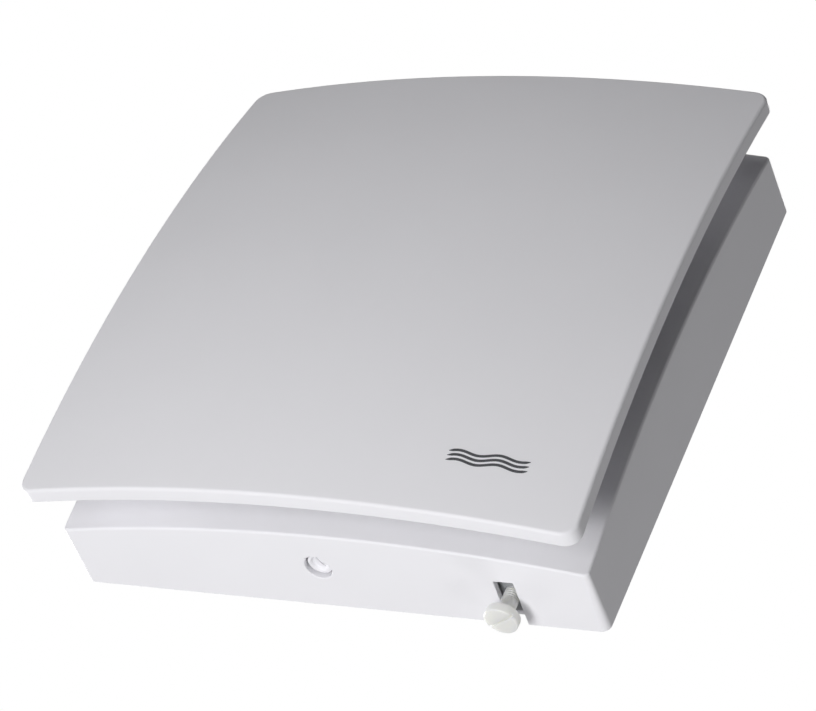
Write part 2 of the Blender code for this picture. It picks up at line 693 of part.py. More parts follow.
def control_box():
    wall, floor, boss_in, hole = 0.0018, 0.0015, 0.0042, 0.0014
    box = box_slab("control_box", "grey_plastic", BOX_BACK, BOX_FRONT)
    room = box_slab("box_room", None, BOX_BACK + floor, BOX_FRONT + 0.01, wall, 0.001)
    reach_x, reach_z = BOX_WIDTH / 2 - boss_in, BOX_HEIGHT / 2 - boss_in
    places = [(BOX_X + s * reach_x, BOX_Z + s * reach_z) for s in (-1, 1)]
    for n, (x, z) in enumerate(places, 1):
        cut(room, rod(f"lid_boss_{n}", None, 0.0030, 0, 0.04, x, z, sides=16))
    cut(box, room)
    for n, (x, z) in enumerate(places, 1):
        cut(box, rod(f"boss_hole_{n}", None, hole, 0.012, 0.04, x, z, sides=12))
    cut(box, rod("box_inlet", None, INLET_RADIUS, -THROUGH, THROUGH, INLET_X, INLET_Z, sides=20))
    lead_way = block(
        "lead_way",
        (BOX_X + 0.015, LEAD_DEPTH - 0.0013, BOX_Z + 0.0027),
        (BOX_X + 0.025, LEAD_DEPTH + 0.0013, BOX_Z + 0.0053),
    )
    cut(box, lead_way)
    lid = box_slab("control_lid", "grey_plastic", BOX_FRONT + GAP, BOX_FRONT + 0.002)
    top = BOX_FRONT + 0.002 + GAP
    profile = (
        (0.0, top + 0.0014),
        (0.0016, top + 0.0012),
        (0.0022, top),
        (0.0011, top),
        (0.0011, 0.0135),
        (0.0, 0.013),
    )
    for n, (x, z) in enumerate(places, 1):
        cut(lid, rod(f"lid_hole_{n}", None, hole, 0.01, 0.04, x, z, sides=12))
        turned(f"lid_screw_{n}", "steel", profile, sides=12, x=x, z=z, closed=False)


def electronics():
    back, thick = 0.0125, 0.0016
    board = slab("control_board", "circuit_board", 0.0240, 0.0330, back, back + thick, BOX_X, BOX_Z)
    parts = (
        ("relay", (-0.0115, -0.002), (-0.0015, 0.013), 0.0065),
        ("capacitor", (0.0015, 0.004), (0.0095, 0.012), 0.0060),
        ("chip", (0.0020, -0.006), (0.0090, 0.001), 0.0018),
    )
    for name, low, high, tall in parts:
        foot = (BOX_X + low[0], back + thick - 0.0002, BOX_Z + low[1])
        join(board, block(name, foot, (BOX_X + high[0], back + thick + tall, BOX_Z + high[1])))
    clamp_back, clamp_z = back + thick + GAP, BOX_Z - 0.0115
    clamp_size = (0.020, 0.008, clamp_back, clamp_back + 0.006)
    clamps = slab("terminal_block", "terminal_green", *clamp_size, BOX_X, clamp_z)
    for n in range(CLAMPS):
        x = BOX_X + (n - (CLAMPS - 1) / 2) * 0.0062
        cut(clamps, rod(f"clamp_well_{n}", None, 0.0016, clamp_back + 0.003, 0.04, x, clamp_z, sides=12))
    ring = (
        (0.0076, 0.0062),
        (0.0076, 0.0046),
        (0.0057, 0.0046),
        (0.0057, 0.0004),
        (0.0040, 0.0004),
        (0.0040, 0.0052),
        (0.0, 0.0052),
    )
    profile = ((0.0, 0.0062), *ring)
    turned("cable_grommet", "rubber", profile, sides=16, x=INLET_X, z=INLET_Z, closed=False)


def motor_lead():
    """The fan's lead: out along a strut, over the ring and round to the control box."""
    angle = math.radians(120)
    out = Vector((math.cos(angle), math.sin(angle)))
    straight_end = out * 0.0755
    box_side = Vector((BOX_X + BOX_WIDTH / 2 - 0.0010, BOX_Z + 0.004))
    bend = [straight_end + out * 0.016, box_side + Vector((0.016, 0.0))]
    places = [out * (0.010 + 0.0655 * n / 12) for n in range(12)]
    for n in range(11):
        t = n / 10
        s = 1 - t
        leaving = straight_end * s**3 + bend[0] * 3 * s * s * t
        places.append(leaving + bend[1] * 3 * s * t * t + box_side * t**3)
    curve = bpy.data.curves.new("motor_lead", "CURVE")
    curve.dimensions = "3D"
    curve.bevel_depth = LEAD_RADIUS
    curve.bevel_resolution = 2
    curve.use_fill_caps = True
    spline = curve.splines.new("POLY")
    spline.points.add(len(places) - 1)
    for point, place in zip(spline.points, places):
        point.co = (place.x, -LEAD_DEPTH, place.y, 1.0)
    lead = bpy.data.objects.new("motor_lead", curve)
    UNIT.objects.link(lead)
    curve.materials.append(material("black_plastic"))


wall_plate()
spigot()
regenerator()
fan_frame()
motor()
impeller()
fan_fasteners()
shutter()
knob()
lock_screw()
housing()
sockets()
air_filter()
front_panel()
panel_posts()
control_box()
electronics()
motor_lead()
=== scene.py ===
import json
import math

import bmesh
import bpy
import numpy as np
from mathutils import Matrix, Vector

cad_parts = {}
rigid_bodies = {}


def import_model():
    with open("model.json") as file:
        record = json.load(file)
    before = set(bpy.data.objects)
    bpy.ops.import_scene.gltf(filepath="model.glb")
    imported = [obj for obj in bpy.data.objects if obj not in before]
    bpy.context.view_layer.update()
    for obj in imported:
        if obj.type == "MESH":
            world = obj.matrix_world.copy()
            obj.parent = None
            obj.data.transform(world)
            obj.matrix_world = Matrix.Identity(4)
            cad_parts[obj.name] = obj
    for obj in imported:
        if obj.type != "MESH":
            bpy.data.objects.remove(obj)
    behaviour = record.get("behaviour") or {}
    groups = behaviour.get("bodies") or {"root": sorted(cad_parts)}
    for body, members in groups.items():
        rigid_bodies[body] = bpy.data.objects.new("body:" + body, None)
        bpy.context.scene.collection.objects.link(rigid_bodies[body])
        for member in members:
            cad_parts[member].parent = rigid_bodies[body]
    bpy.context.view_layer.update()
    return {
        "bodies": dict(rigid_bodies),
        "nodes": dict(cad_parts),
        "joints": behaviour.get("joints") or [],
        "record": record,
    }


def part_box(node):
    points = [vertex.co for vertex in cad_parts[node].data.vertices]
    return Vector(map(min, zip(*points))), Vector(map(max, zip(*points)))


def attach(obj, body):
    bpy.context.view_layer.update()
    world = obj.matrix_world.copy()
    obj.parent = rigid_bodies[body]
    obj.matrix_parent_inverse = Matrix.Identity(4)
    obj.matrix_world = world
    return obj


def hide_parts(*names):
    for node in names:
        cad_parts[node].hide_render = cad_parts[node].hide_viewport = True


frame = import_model()

# Stage, light and camera

camera = {
    "aim": (-0.0034, -0.0294, -0.0077),
    "distance": 1.1746,
    "azimuth": 36.94,  # degrees to the right of the front
    "elevation": -37.54,  # looking up from below
    "roll": 27.44,
    "lens": 124.0,
}


# Camera axes from the angles: back along the line of sight, right level with the floor, then rolled
def placeCamera(c):
    a, e, r = (math.radians(c[k]) for k in ("azimuth", "elevation", "roll"))
    back = Vector((math.sin(a) * math.cos(e), -math.cos(a) * math.cos(e), math.sin(e)))
    right = Vector((math.cos(a), math.sin(a), 0))
    up = back.cross(right)
    rolledRight = right * math.cos(r) + up * math.sin(r)
    rolledUp = back.cross(rolledRight)
    data = bpy.data.cameras.new("camera")
    data.lens = c["lens"]
    data.sensor_width = 36
    obj = bpy.data.objects.new("camera", data)
    turn = Matrix((rolledRight, rolledUp, back)).transposed().to_4x4()
    obj.matrix_world = Matrix.Translation(Vector(c["aim"]) + back * c["distance"]) @ turn
    bpy.context.scene.collection.objects.link(obj)
    bpy.context.scene.camera = obj


# Each light hangs on a sphere round the object: degrees round from the front, degrees up, watts
lights = {
    "keyBelow": (-5, -58, 14.8),
    "frontBelow": (-5, -40, 4.8),
    "belowRight": (20, -58, 2.2),
    "frontAbove": (0, 20, 3.7),
    "aboveLeft": (-30, 20, 2.3),
    "frontLeft": (-60, -20, 1.1),
    "left": (-120, 0, 23.5),
    "leftLow": (-120, -40, 1.6),
    "rightBack": (150, -20, 6.9),
    "right": (100, 10, 2.6),
    "rightLow": (100, -30, 2.9),
    "topBack": (180, 60, 9.0),
}
lightDistance, lightSize = 1.7, 0.5


def makeLights():
    for name, (azimuth, elevation, watts) in lights.items():
        a, e = math.radians(azimuth), math.radians(elevation)
        place = Vector((math.sin(a) * math.cos(e), -math.cos(a) * math.cos(e), math.sin(e))) * lightDistance
        data = bpy.data.lights.new(name, "AREA")
        data.shape = "DISK"
        data.size, data.energy = lightSize, watts
        obj = bpy.data.objects.new(name, data)
        obj.location = place
        obj.rotation_euler = place.to_track_quat("Z", "Y").to_euler()
        bpy.context.scene.collection.objects.link(obj)


studio = {"seen": (1.0, 1.0, 1.0), "ambient": (0.93, 0.95, 1.0), "ambientStrength": 0.006, "floorDepth": -1.7}


# The camera sees plain white round the object; the object is lit by a dimmer even grey
def makeWorld():
    world = bpy.data.worlds.new("studio")
    world.use_nodes = True
    nodes, links = world.node_tree.nodes, world.node_tree.links
    nodes.clear()
    out = nodes.new("ShaderNodeOutputWorld")
    mix = nodes.new("ShaderNodeMixShader")
    path = nodes.new("ShaderNodeLightPath")
    ambient, seen = nodes.new("ShaderNodeBackground"), nodes.new("ShaderNodeBackground")
    ambient.inputs["Color"].default_value = (*studio["ambient"], 1)
    ambient.inputs["Strength"].default_value = studio["ambientStrength"]
    seen.inputs["Color"].default_value = (*studio["seen"], 1)
    links.new(path.outputs["Is Camera Ray"], mix.inputs[0])
    links.new(ambient.outputs[0], mix.inputs[1])
    links.new(seen.outputs[0], mix.inputs[2])
    links.new(mix.outputs[0], out.inputs[0])
    bpy.context.scene.world = world
    bpy.context.scene.view_settings.view_transform = "Standard"


print("stage, light and camera")
placeCamera(camera)
makeLights()
makeWorld()

# Finishes


def newMaterial(name, colour, roughness, metallic=0.0):
    made = bpy.data.materials.new(name)
    made.use_nodes = True
    shader = made.node_tree.nodes["Principled BSDF"]
    shader.inputs["Base Color"].default_value = (*colour, 1)
    shader.inputs["Roughness"].default_value = roughness
    shader.inputs["Metallic"].default_value = metallic
    return made, made.node_tree.nodes, made.node_tree.links, shader


def noiseNode(nodes, links, coords, scale, detail=3.0, rough=0.5):
    noise = nodes.new("ShaderNodeTexNoise")
    noise.inputs["Scale"].default_value = scale
    noise.inputs["Detail"].default_value = detail
    noise.inputs["Roughness"].default_value = rough
    links.new(coords, noise.inputs["Vector"])
    return noise.outputs["Fac"]


def rangeNode(nodes, links, source, low, high, fromLow=0.3, fromHigh=0.7):
    node = nodes.new("ShaderNodeMapRange")
    for key, value in (("From Min", fromLow), ("From Max", fromHigh), ("To Min", low), ("To Max", high)):
        node.inputs[key].default_value = value
    links.new(source, node.inputs["Value"])
    return node.outputs["Result"]


# Moulded plastic: a colour that drifts a little, a fine spark-eroded grain and a roughness that varies
def mouldedPlastic(name, colour, rough, grain=2600.0, height=0.000010, drift=0.02, specular=0.5):
    made, nodes, links, shader = newMaterial(name, colour, rough)
    shader.inputs["Specular IOR Level"].default_value = specular
    coords = nodes.new("ShaderNodeTexCoord").outputs["Object"]
    drifted = nodes.new("ShaderNodeMix")
    drifted.data_type = "RGBA"
    drifted.inputs["A"].default_value = (*[c * (1 - drift) for c in colour], 1)
    drifted.inputs["B"].default_value = (*[min(1, c * (1 + drift)) for c in colour], 1)
    links.new(noiseNode(nodes, links, coords, 14.0, 2.0), drifted.inputs["Factor"])
    links.new(drifted.outputs["Result"], shader.inputs["Base Color"])
    blotch = noiseNode(nodes, links, coords, 60.0, 4.0)
    links.new(rangeNode(nodes, links, blotch, rough - 0.04, rough + 0.04), shader.inputs["Roughness"])
    bump = nodes.new("ShaderNodeBump")
    bump.inputs["Strength"].default_value = 1.0
    bump.inputs["Distance"].default_value = height
    links.new(noiseNode(nodes, links, coords, grain, 2.0, 0.6), bump.inputs["Height"])
    links.new(bump.outputs["Normal"], shader.inputs["Normal"])
    return made


# Milky nylon: the same moulding, with light scattered under the skin
def milkyNylon(name, colour, rough):
    made = mouldedPlastic(name, colour, rough, grain=1400.0, height=0.000015, drift=0.015)
    shader = made.node_tree.nodes["Principled BSDF"]
    shader.inputs["Subsurface Weight"].default_value = 0.9
    shader.inputs["Subsurface Radius"].default_value = (1.0, 1.0, 0.85)
    shader.inputs["Subsurface Scale"].default_value = 0.007
    return made


# Open foam: dark cells from a Voronoi pattern
def openFoam(name, colour, cells=900.0, height=0.0004):
    made, nodes, links, shader = newMaterial(name, colour, 0.95)
    shader.inputs["Specular IOR Level"].default_value = 0.2
    coords = nodes.new("ShaderNodeTexCoord").outputs["Object"]
    voronoi = nodes.new("ShaderNodeTexVoronoi")
    voronoi.inputs["Scale"].default_value = cells
    links.new(coords, voronoi.inputs["Vector"])
    ramp = nodes.new("ShaderNodeValToRGB")
    ramp.color_ramp.elements[0].color = (*[c * 0.45 for c in colour], 1)
    ramp.color_ramp.elements[1].color = (*[min(1, c * 1.5) for c in colour], 1)
    ramp.color_ramp.elements[1].position = 0.7
    links.new(voronoi.outputs["Distance"], ramp.inputs["Fac"])
    links.new(ramp.outputs["Color"], shader.inputs["Base Color"])
    bump = nodes.new("ShaderNodeBump")
    bump.inputs["Strength"].default_value = 0.8
    bump.inputs["Distance"].default_value = height
    links.new(voronoi.outputs["Distance"], bump.inputs["Height"])
    links.new(bump.outputs["Normal"], shader.inputs["Normal"])
    return made


# Fleece: fibres from noise stretched two ways
def fibreFleece(name, colour):
    made, nodes, links, shader = newMaterial(name, colour, 0.95)
    shader.inputs["Sheen Weight"].default_value = 0.3
    coords = nodes.new("ShaderNodeTexCoord").outputs["Object"]
    heights = []
    for turn in (0.5, -0.9):
        mapping = nodes.new("ShaderNodeMapping")
        mapping.inputs["Rotation"].default_value = (0, turn, 0)
        mapping.inputs["Scale"].default_value = (1.0, 1.0, 0.08)
        links.new(coords, mapping.inputs["Vector"])
        heights.append(noiseNode(nodes, links, mapping.outputs["Vector"], 1500.0, 3.0))
    added = nodes.new("ShaderNodeMath")
    added.operation = "ADD"
    links.new(heights[0], added.inputs[0])
    links.new(heights[1], added.inputs[1])
    shade = nodes.new("ShaderNodeMix")
    shade.data_type = "RGBA"
    shade.inputs["A"].default_value = (*[c * 0.72 for c in colour], 1)
    shade.inputs["B"].default_value = (*colour, 1)
    links.new(rangeNode(nodes, links, added.outputs[0], 0, 1, 0.7, 1.2), shade.inputs["Factor"])
    links.new(shade.outputs["Result"], shader.inputs["Base Color"])
    bump = nodes.new("ShaderNodeBump")
    bump.inputs["Strength"].default_value = 0.7
    bump.inputs["Distance"].default_value = 0.0004
    links.new(added.outputs[0], bump.inputs["Height"])
    links.new(bump.outputs["Normal"], shader.inputs["Normal"])
    return made


# Metal: fine scratches that vary the roughness
def workedMetal(name, colour, rough, scratches=900.0):
    made, nodes, links, shader = newMaterial(name, colour, rough, 1.0)
    coords = nodes.new("ShaderNodeTexCoord").outputs["Object"]
    mapping = nodes.new("ShaderNodeMapping")
    mapping.inputs["Scale"].default_value = (1.0, 0.06, 1.0)
    links.new(coords, mapping.inputs["Vector"])
    lines = noiseNode(nodes, links, mapping.outputs["Vector"], scratches, 4.0, 0.65)
    links.new(rangeNode(nodes, links, lines, rough - 0.08, rough + 0.12), shader.inputs["Roughness"])
    bump = nodes.new("ShaderNodeBump")
    bump.inputs["Strength"].default_value = 0.3
    bump.inputs["Distance"].default_value = 0.00002
    links.new(lines, bump.inputs["Height"])
    links.new(bump.outputs["Normal"], shader.inputs["Normal"])
    return made


# Fired ceramic: a sandy body with darker specks
def firedCeramic(name, colour):
    made, nodes, links, shader = newMaterial(name, colour, 0.85)
    coords = nodes.new("ShaderNodeTexCoord").outputs["Object"]
    shade = nodes.new("ShaderNodeMix")
    shade.data_type = "RGBA"
    shade.inputs["A"].default_value = (*[c * 0.80 for c in colour], 1)
    shade.inputs["B"].default_value = (*colour, 1)
    specks = noiseNode(nodes, links, coords, 350.0, 6.0, 0.7)
    links.new(rangeNode(nodes, links, specks, 0, 1), shade.inputs["Factor"])
    links.new(shade.outputs["Result"], shader.inputs["Base Color"])
    bump = nodes.new("ShaderNodeBump")
    bump.inputs["Strength"].default_value = 0.5
    bump.inputs["Distance"].default_value = 0.0001
    links.new(noiseNode(nodes, links, coords, 1200.0, 5.0, 0.7), bump.inputs["Height"])
    links.new(bump.outputs["Normal"], shader.inputs["Normal"])
    return made


finishes = {
    "white_plastic": mouldedPlastic("whitePlastic", (0.79, 0.785, 0.815), 0.55, specular=0.32),
    "milky_nylon": milkyNylon("milkyNylon", (0.70, 0.70, 0.69), 0.42),
    "grey_plastic": mouldedPlastic("greyPlastic", (0.28, 0.29, 0.30), 0.5, drift=0.05),
    "black_plastic": mouldedPlastic("blackPlastic", (0.020, 0.020, 0.023), 0.42, drift=0.10),
    "dark_badge": mouldedPlastic("darkBadge", (0.055, 0.058, 0.065), 0.45, drift=0.05),
    "ceramic": firedCeramic("firedCeramic", (0.66, 0.58, 0.47)),
    "foam": openFoam("openFoam", (0.045, 0.045, 0.05)),
    "filter_fleece": fibreFleece("fibreFleece", (0.80, 0.82, 0.80)),
    "rubber": mouldedPlastic(
        "softRubber", (0.022, 0.022, 0.022), 0.68, grain=1800.0, drift=0.10, specular=0.35
    ),
    "steel": workedMetal("workedSteel", (0.62, 0.62, 0.63), 0.28),
    "copper_and_core": workedMetal("copperWinding", (0.50, 0.22, 0.09), 0.35),
    "magnet": workedMetal("sinteredMagnet", (0.16, 0.16, 0.17), 0.50),
    "circuit_board": mouldedPlastic("circuitBoard", (0.015, 0.14, 0.05), 0.35, drift=0.12),
    "terminal_green": mouldedPlastic("terminalGreen", (0.04, 0.27, 0.10), 0.45, drift=0.05),
}
print("finishes made:", len(finishes))

# Shapes


# Points round a rounded rectangle: quarter circles at the corners, even steps along the sides
def roundRect(width, height, corner, sideSteps=26, arcSteps=8):
    corner = max(corner, 0.0001)
    half = np.array([width / 2 - corner, height / 2 - corner])
    signs = np.array([[1, 1], [-1, 1], [-1, -1], [1, -1]])
    angles = np.linspace(0, np.pi / 2, arcSteps + 1) + np.arange(4)[:, None] * np.pi / 2
    arcs = signs[:, None, :] * half + corner * np.stack([np.cos(angles), np.sin(angles)], -1)
    following = np.roll(arcs[:, :1], -1, axis=0)
    steps = np.linspace(0, 1, sideSteps + 1)[1:-1][None, :, None]
    sides = arcs[:, -1:] + (following - arcs[:, -1:]) * steps
    return np.concatenate([arcs, sides], axis=1).reshape(-1, 2)


# A row of corners (a, b, fillet) with each fillet as a parabola between its two tangent points
def softProfile(corners, steps=5, closed=False):
    flat = np.array([c[:2] for c in corners], float)
    fillets = [c[2] if len(c) > 2 else 0.0 for c in corners]
    t = np.linspace(0, 1, steps + 1)[:, None]
    rows = []
    for n, (here, fillet) in enumerate(zip(flat, fillets)):
        ends = not closed and n in (0, len(flat) - 1)
        if ends or not fillet:
            rows.append(here[None])
            continue
        toward = [flat[n - 1] - here, flat[(n + 1) % len(flat)] - here]
        first, last = (here + way / np.linalg.norm(way) * fillet for way in toward)
        rows.append((1 - t) ** 2 * first + 2 * t * (1 - t) * here + t * t * last)
    return np.concatenate(rows)


# Rings stacked into one surface: quads between neighbours, a flat cap at each end unless it wraps
def loftMesh(name, rings, slot, wrap=False, caps=(True, True), sharp=40):
    rings = np.asarray(rings, float)
    count, around = rings.shape[:2]
    ring, layers = np.arange(around), np.arange(count if wrap else count - 1)[:, None]
    after, above = np.roll(ring, -1), (layers + 1) % count
    faces = np.stack(
        [layers * around + ring, layers * around + after, above * around + after, above * around + ring], -1
    ).reshape(-1, 4).tolist()
    if not wrap and caps[0]:
        faces.append(ring[::-1].tolist())
    if not wrap and caps[1]:
        faces.append((ring + (count - 1) * around).tolist())
    return meshPiece(name, rings.reshape(-1, 3), faces, slot, sharp)


# A piece from points and faces, its doubles merged and its faces turned outwards
def meshPiece(name, points, faces, slot, sharp=40):
    mesh = bpy.data.meshes.new(name)
    mesh.from_pydata(points.tolist(), [], faces)
    bm = bmesh.new()
    bm.from_mesh(mesh)
    bmesh.ops.remove_doubles(bm, verts=bm.verts, dist=1e-6)
    bmesh.ops.recalc_face_normals(bm, faces=bm.faces)
    bm.to_mesh(mesh)
    bm.free()
    mesh.shade_smooth()
    mesh.set_sharp_from_angle(angle=math.radians(sharp))
    obj = bpy.data.objects.new(name, mesh)
    bpy.context.scene.collection.objects.link(obj)
    if slot:
        mesh.materials.append(finishes[slot])
    return obj


# A profile of (radius, height) carried round a circle; its axis is the depth, or Z when upright
def turnedPiece(name, profile, slot, centre=(0, 0), around=96, upright=None, wrap=False, sharp=40):
    angles = np.linspace(0, 2 * np.pi, around, endpoint=False)
    radius, height = profile[:, 0][:, None], profile[:, 1][:, None]
    across, over = radius * np.cos(angles), radius * np.sin(angles)
    level = np.broadcast_to(height, across.shape)
    if upright:
        rings = np.stack([across + upright[0], over + upright[1], level + upright[2]], -1)
    else:
        rings = np.stack([across + centre[0], -level, over + centre[1]], -1)
    return loftMesh(name, rings, slot, wrap=wrap, sharp=sharp)


# Cutters are used up here, and the piece keeps the cut mesh
def carve(piece, cutters, how="DIFFERENCE", sharp=40):
    for cutter in cutters:
        boolean = piece.modifiers.new(cutter.name, "BOOLEAN")
        boolean.operation, boolean.solver, boolean.object = how, "EXACT", cutter
    bpy.context.view_layer.update()
    carved = bpy.data.meshes.new_from_object(piece.evaluated_get(bpy.context.evaluated_depsgraph_get()))
    piece.modifiers.clear()
    old, piece.data = piece.data, carved
    bpy.data.meshes.remove(old)
    for cutter in cutters:
        bpy.data.objects.remove(cutter)
    if sharp:
        piece.data.shade_smooth()
        piece.data.set_sharp_from_angle(angle=math.radians(sharp))
    return piece


# A CAD node's middle in the wall's plane
def middleOf(node):
    low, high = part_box(node)
    return ((low.x + high.x) / 2, (low.z + high.z) / 2)


# A flat piece between two depths: a rounded rectangle with soft edges, turned in the wall's plane
def slabPiece(name, size, depths, corner, edge, slot=None, middle=(0, 0), turn=0.0):
    (width, height), (back, front) = size, depths
    steps = [0, 0.3, 1]
    rows = [(edge * 1.5, back)] + [(edge * (1 - t), back + edge * (1 - math.sqrt(1 - t * t))) for t in steps]
    rows += [(edge * (1 - t), front - edge * (1 - math.sqrt(1 - t * t))) for t in steps[::-1]]
    rows += [(edge * 1.5, front)]
    rings = []
    for inset, depth in rows:
        x, z = roundRect(width - 2 * inset, height - 2 * inset, max(corner - inset, 0.0002), 3, 6).T
        across = middle[0] + x * math.cos(turn) - z * math.sin(turn)
        over = middle[1] + x * math.sin(turn) + z * math.cos(turn)
        rings.append(np.stack([across, np.full(len(x), -depth), over], -1))
    return loftMesh(name, rings, slot)


# A slab that runs outwards from the duct's axis between two radii
def spokePiece(name, angle, radii, width, depths, edge=0.0004, slot=None):
    middle, long = (radii[0] + radii[1]) / 2, radii[1] - radii[0]
    place = (middle * math.cos(angle), middle * math.sin(angle))
    return slabPiece(name, (long, width), depths, edge, edge, slot, place, angle)


# A straight round cutter along the depth, or along Z when it has a place to stand
def drill(name, radius, depths, centre=(0, 0), upright=None, around=48):
    profile = np.array([(radius, depths[0]), (radius, depths[1])])
    return turnedPiece(name, profile, None, centre, around, upright)


# Places round the duct's axis, the first at an angle in degrees
def circlePlaces(count, first, radius):
    angles = math.radians(first) + 2 * np.pi * np.arange(count) / count
    return [(a, radius * math.cos(a), radius * math.sin(a)) for a in angles]


# A ring of one section turned round the duct: the section's corners are (radius, depth, fillet)
def ringPiece(name, corners, slot, around=128, centre=(0, 0), sharp=40):
    profile = softProfile(corners, 4, closed=True)
    return turnedPiece(name, profile, slot, centre, around, wrap=True, sharp=sharp)


# A plain ring: inner and outer radius, two depths, one fillet
def plainRing(name, radii, depths, fillet, slot, around=128, centre=(0, 0)):
    (inner, outer), (back, front) = radii, depths
    corners = [(outer, front, fillet), (outer, back, fillet), (inner, back, fillet), (inner, front, fillet)]
    return ringPiece(name, corners, slot, around, centre)


# A solid turned piece: its corners run from the axis at one end to the axis at the other
def solidTurned(name, corners, slot, centre=(0, 0), around=64, steps=4, upright=None):
    profile = softProfile(corners, steps)
    profile[:, 0] = np.maximum(profile[:, 0], 0.00002)
    return turnedPiece(name, profile, slot, centre, around, upright)


# A piece's flat faces are kept flat by weighting its normals by area; it takes its finish's slot,
# rides on its body and stands for its CAD node
def settle(piece, slot, body, *nodes):
    weighted = piece.modifiers.new("weighted", "WEIGHTED_NORMAL")
    weighted.keep_sharp = True
    carve(piece, [], sharp=None)
    piece.data.materials.clear()
    piece.data.materials.append(finishes[slot])
    piece.data.polygons.foreach_set("material_index", np.zeros(len(piece.data.polygons), np.int32))
    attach(piece, body)
    if nodes:
        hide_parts(*nodes)


# Front panel

panel = {
    "dropX": 0.0105,  # how far the crown falls at the sides
    "dropZ": 0.01005,
    "corner": 0.0068,
    "rim": 0.0070,
    "skin": 0.0025,
    "frontEdge": 0.0013,
    "backEdge": 0.0007,
    "bossRadius": 0.006,
    "bossFoot": 0.0660,  # depths from the wall
    "bossTop": 0.0690,
}
panelLow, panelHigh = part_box("front_panel")
panelSide = panelHigh.x - panelLow.x
panelApex = -panelLow.y


# Depth of the panel's front: the apex less a parabola each way
def panelDepth(x, z):
    return panelApex - panel["dropX"] * (2 * x / panelSide) ** 2 - panel["dropZ"] * (2 * z / panelSide) ** 2


# The panel as rings from the middle of its front, over the rim and back to the middle of its inside:
# each ring is a rounded square at an inset, or one shrunk, at a distance behind the crown
def makePanel():
    p = panel
    edge, back, skin, rim = p["frontEdge"], p["backEdge"], p["skin"], p["rim"]
    turn = np.linspace(0, np.pi / 2, 7)
    shrink = np.linspace(0, 1, 30)
    rows = [(edge, s, 0.0) for s in shrink]
    rows += [(edge * (1 - math.sin(a)), 1, edge * (1 - math.cos(a))) for a in turn[1:]]
    rows += [(0.0, 1, lift) for lift in np.linspace(edge, rim - back, 5)[1:]]
    rows += [(back * (1 - math.cos(a)), 1, rim - back + back * math.sin(a)) for a in turn[1:]]
    rows += [(skin - back + back * math.sin(a), 1, rim - back + back * math.cos(a)) for a in turn]
    rows += [(skin + edge * (1 - math.cos(a)), 1, skin + edge * (1 - math.sin(a))) for a in turn]
    rows += [(skin + edge, s, skin) for s in shrink[::-1][1:]]
    rings = []
    for inset, scale, lift in rows:
        side = panelSide - 2 * inset
        ring = roundRect(side, side, p["corner"] - inset) * scale
        x, z = ring.T
        rings.append(np.stack([x, lift - panelDepth(x, z), z], -1))
    shell = loftMesh("panelShell", rings, "white_plastic", caps=(False, False))
    bosses = []
    for n in range(1, 5):
        radius, foot, top = p["bossRadius"], p["bossFoot"], p["bossTop"]
        profile = softProfile([(0, foot), (radius, foot, 0.0004), (radius, top), (0, top)])
        bosses.append(turnedPiece(f"boss{n}", profile[1:-1], None, middleOf(f"panel_post_{n}"), 40))
    carve(shell, bosses, "UNION")
    settle(shell, "white_plastic", "panel", "front_panel")


badge = {"strokes": 3, "thick": 0.00125, "swing": 0.00075, "waves": 2.0, "proud": 0.00012}


# Three rows of waves inlaid in the panel: each a flat round-edged ribbon carried along a sine,
# narrowed towards its ends
def makeBadge():
    b = badge
    low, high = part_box("badge")
    middle, width, height = (low + high) / 2, high.x - low.x, high.z - low.z
    along = np.linspace(0, 1, 120)
    around = np.linspace(0, 2 * np.pi, 16, endpoint=False)
    wide = b["thick"] / 2 * np.clip(np.sin(np.pi * along) * 6, 0.05, 1) ** 0.6
    rise = (height - b["thick"] - 2 * b["swing"]) / (b["strokes"] - 1)
    points, faces = [], []
    for n in range(b["strokes"]):
        x = middle.x + (along - 0.5) * width * 0.97
        level = middle.z + (n - (b["strokes"] - 1) / 2) * rise
        slope = np.cos(2 * np.pi * b["waves"] * along) * 2 * np.pi * b["waves"] * b["swing"] / width
        tilt = np.arctan(slope)
        z = level + b["swing"] * np.sin(2 * np.pi * b["waves"] * along)
        flat = np.sign(np.cos(around)) * np.abs(np.cos(around)) ** 0.7
        tall = np.sign(np.sin(around)) * np.abs(np.sin(around)) ** 0.5
        px = x[:, None] - np.sin(tilt)[:, None] * wide[:, None] * flat
        pz = z[:, None] + np.cos(tilt)[:, None] * wide[:, None] * flat
        lift = 0.0003 * tall + b["proud"] - 0.0003
        rings = np.stack([px, -panelDepth(px, pz) - lift, pz], -1)
        start = sum(len(p) for p in points)
        count = len(around)
        i, j = np.meshgrid(np.arange(len(along) - 1), np.arange(count), indexing="ij")
        k = (j + 1) % count
        quads = np.stack([i * count + j, i * count + k, (i + 1) * count + k, (i + 1) * count + j], -1)
        faces += (quads.reshape(-1, 4) + start).tolist()
        ring, last = np.arange(count), start + count * (len(along) - 1)
        faces += [(ring[::-1] + start).tolist(), (ring + last).tolist()]
        points.append(rings.reshape(-1, 3))
    mark = meshPiece("badgeWaves", np.concatenate(points), faces, "dark_badge", 50)
    settle(mark, "dark_badge", "panel", "badge")


print("front panel")
makePanel()
makeBadge()

# Housing

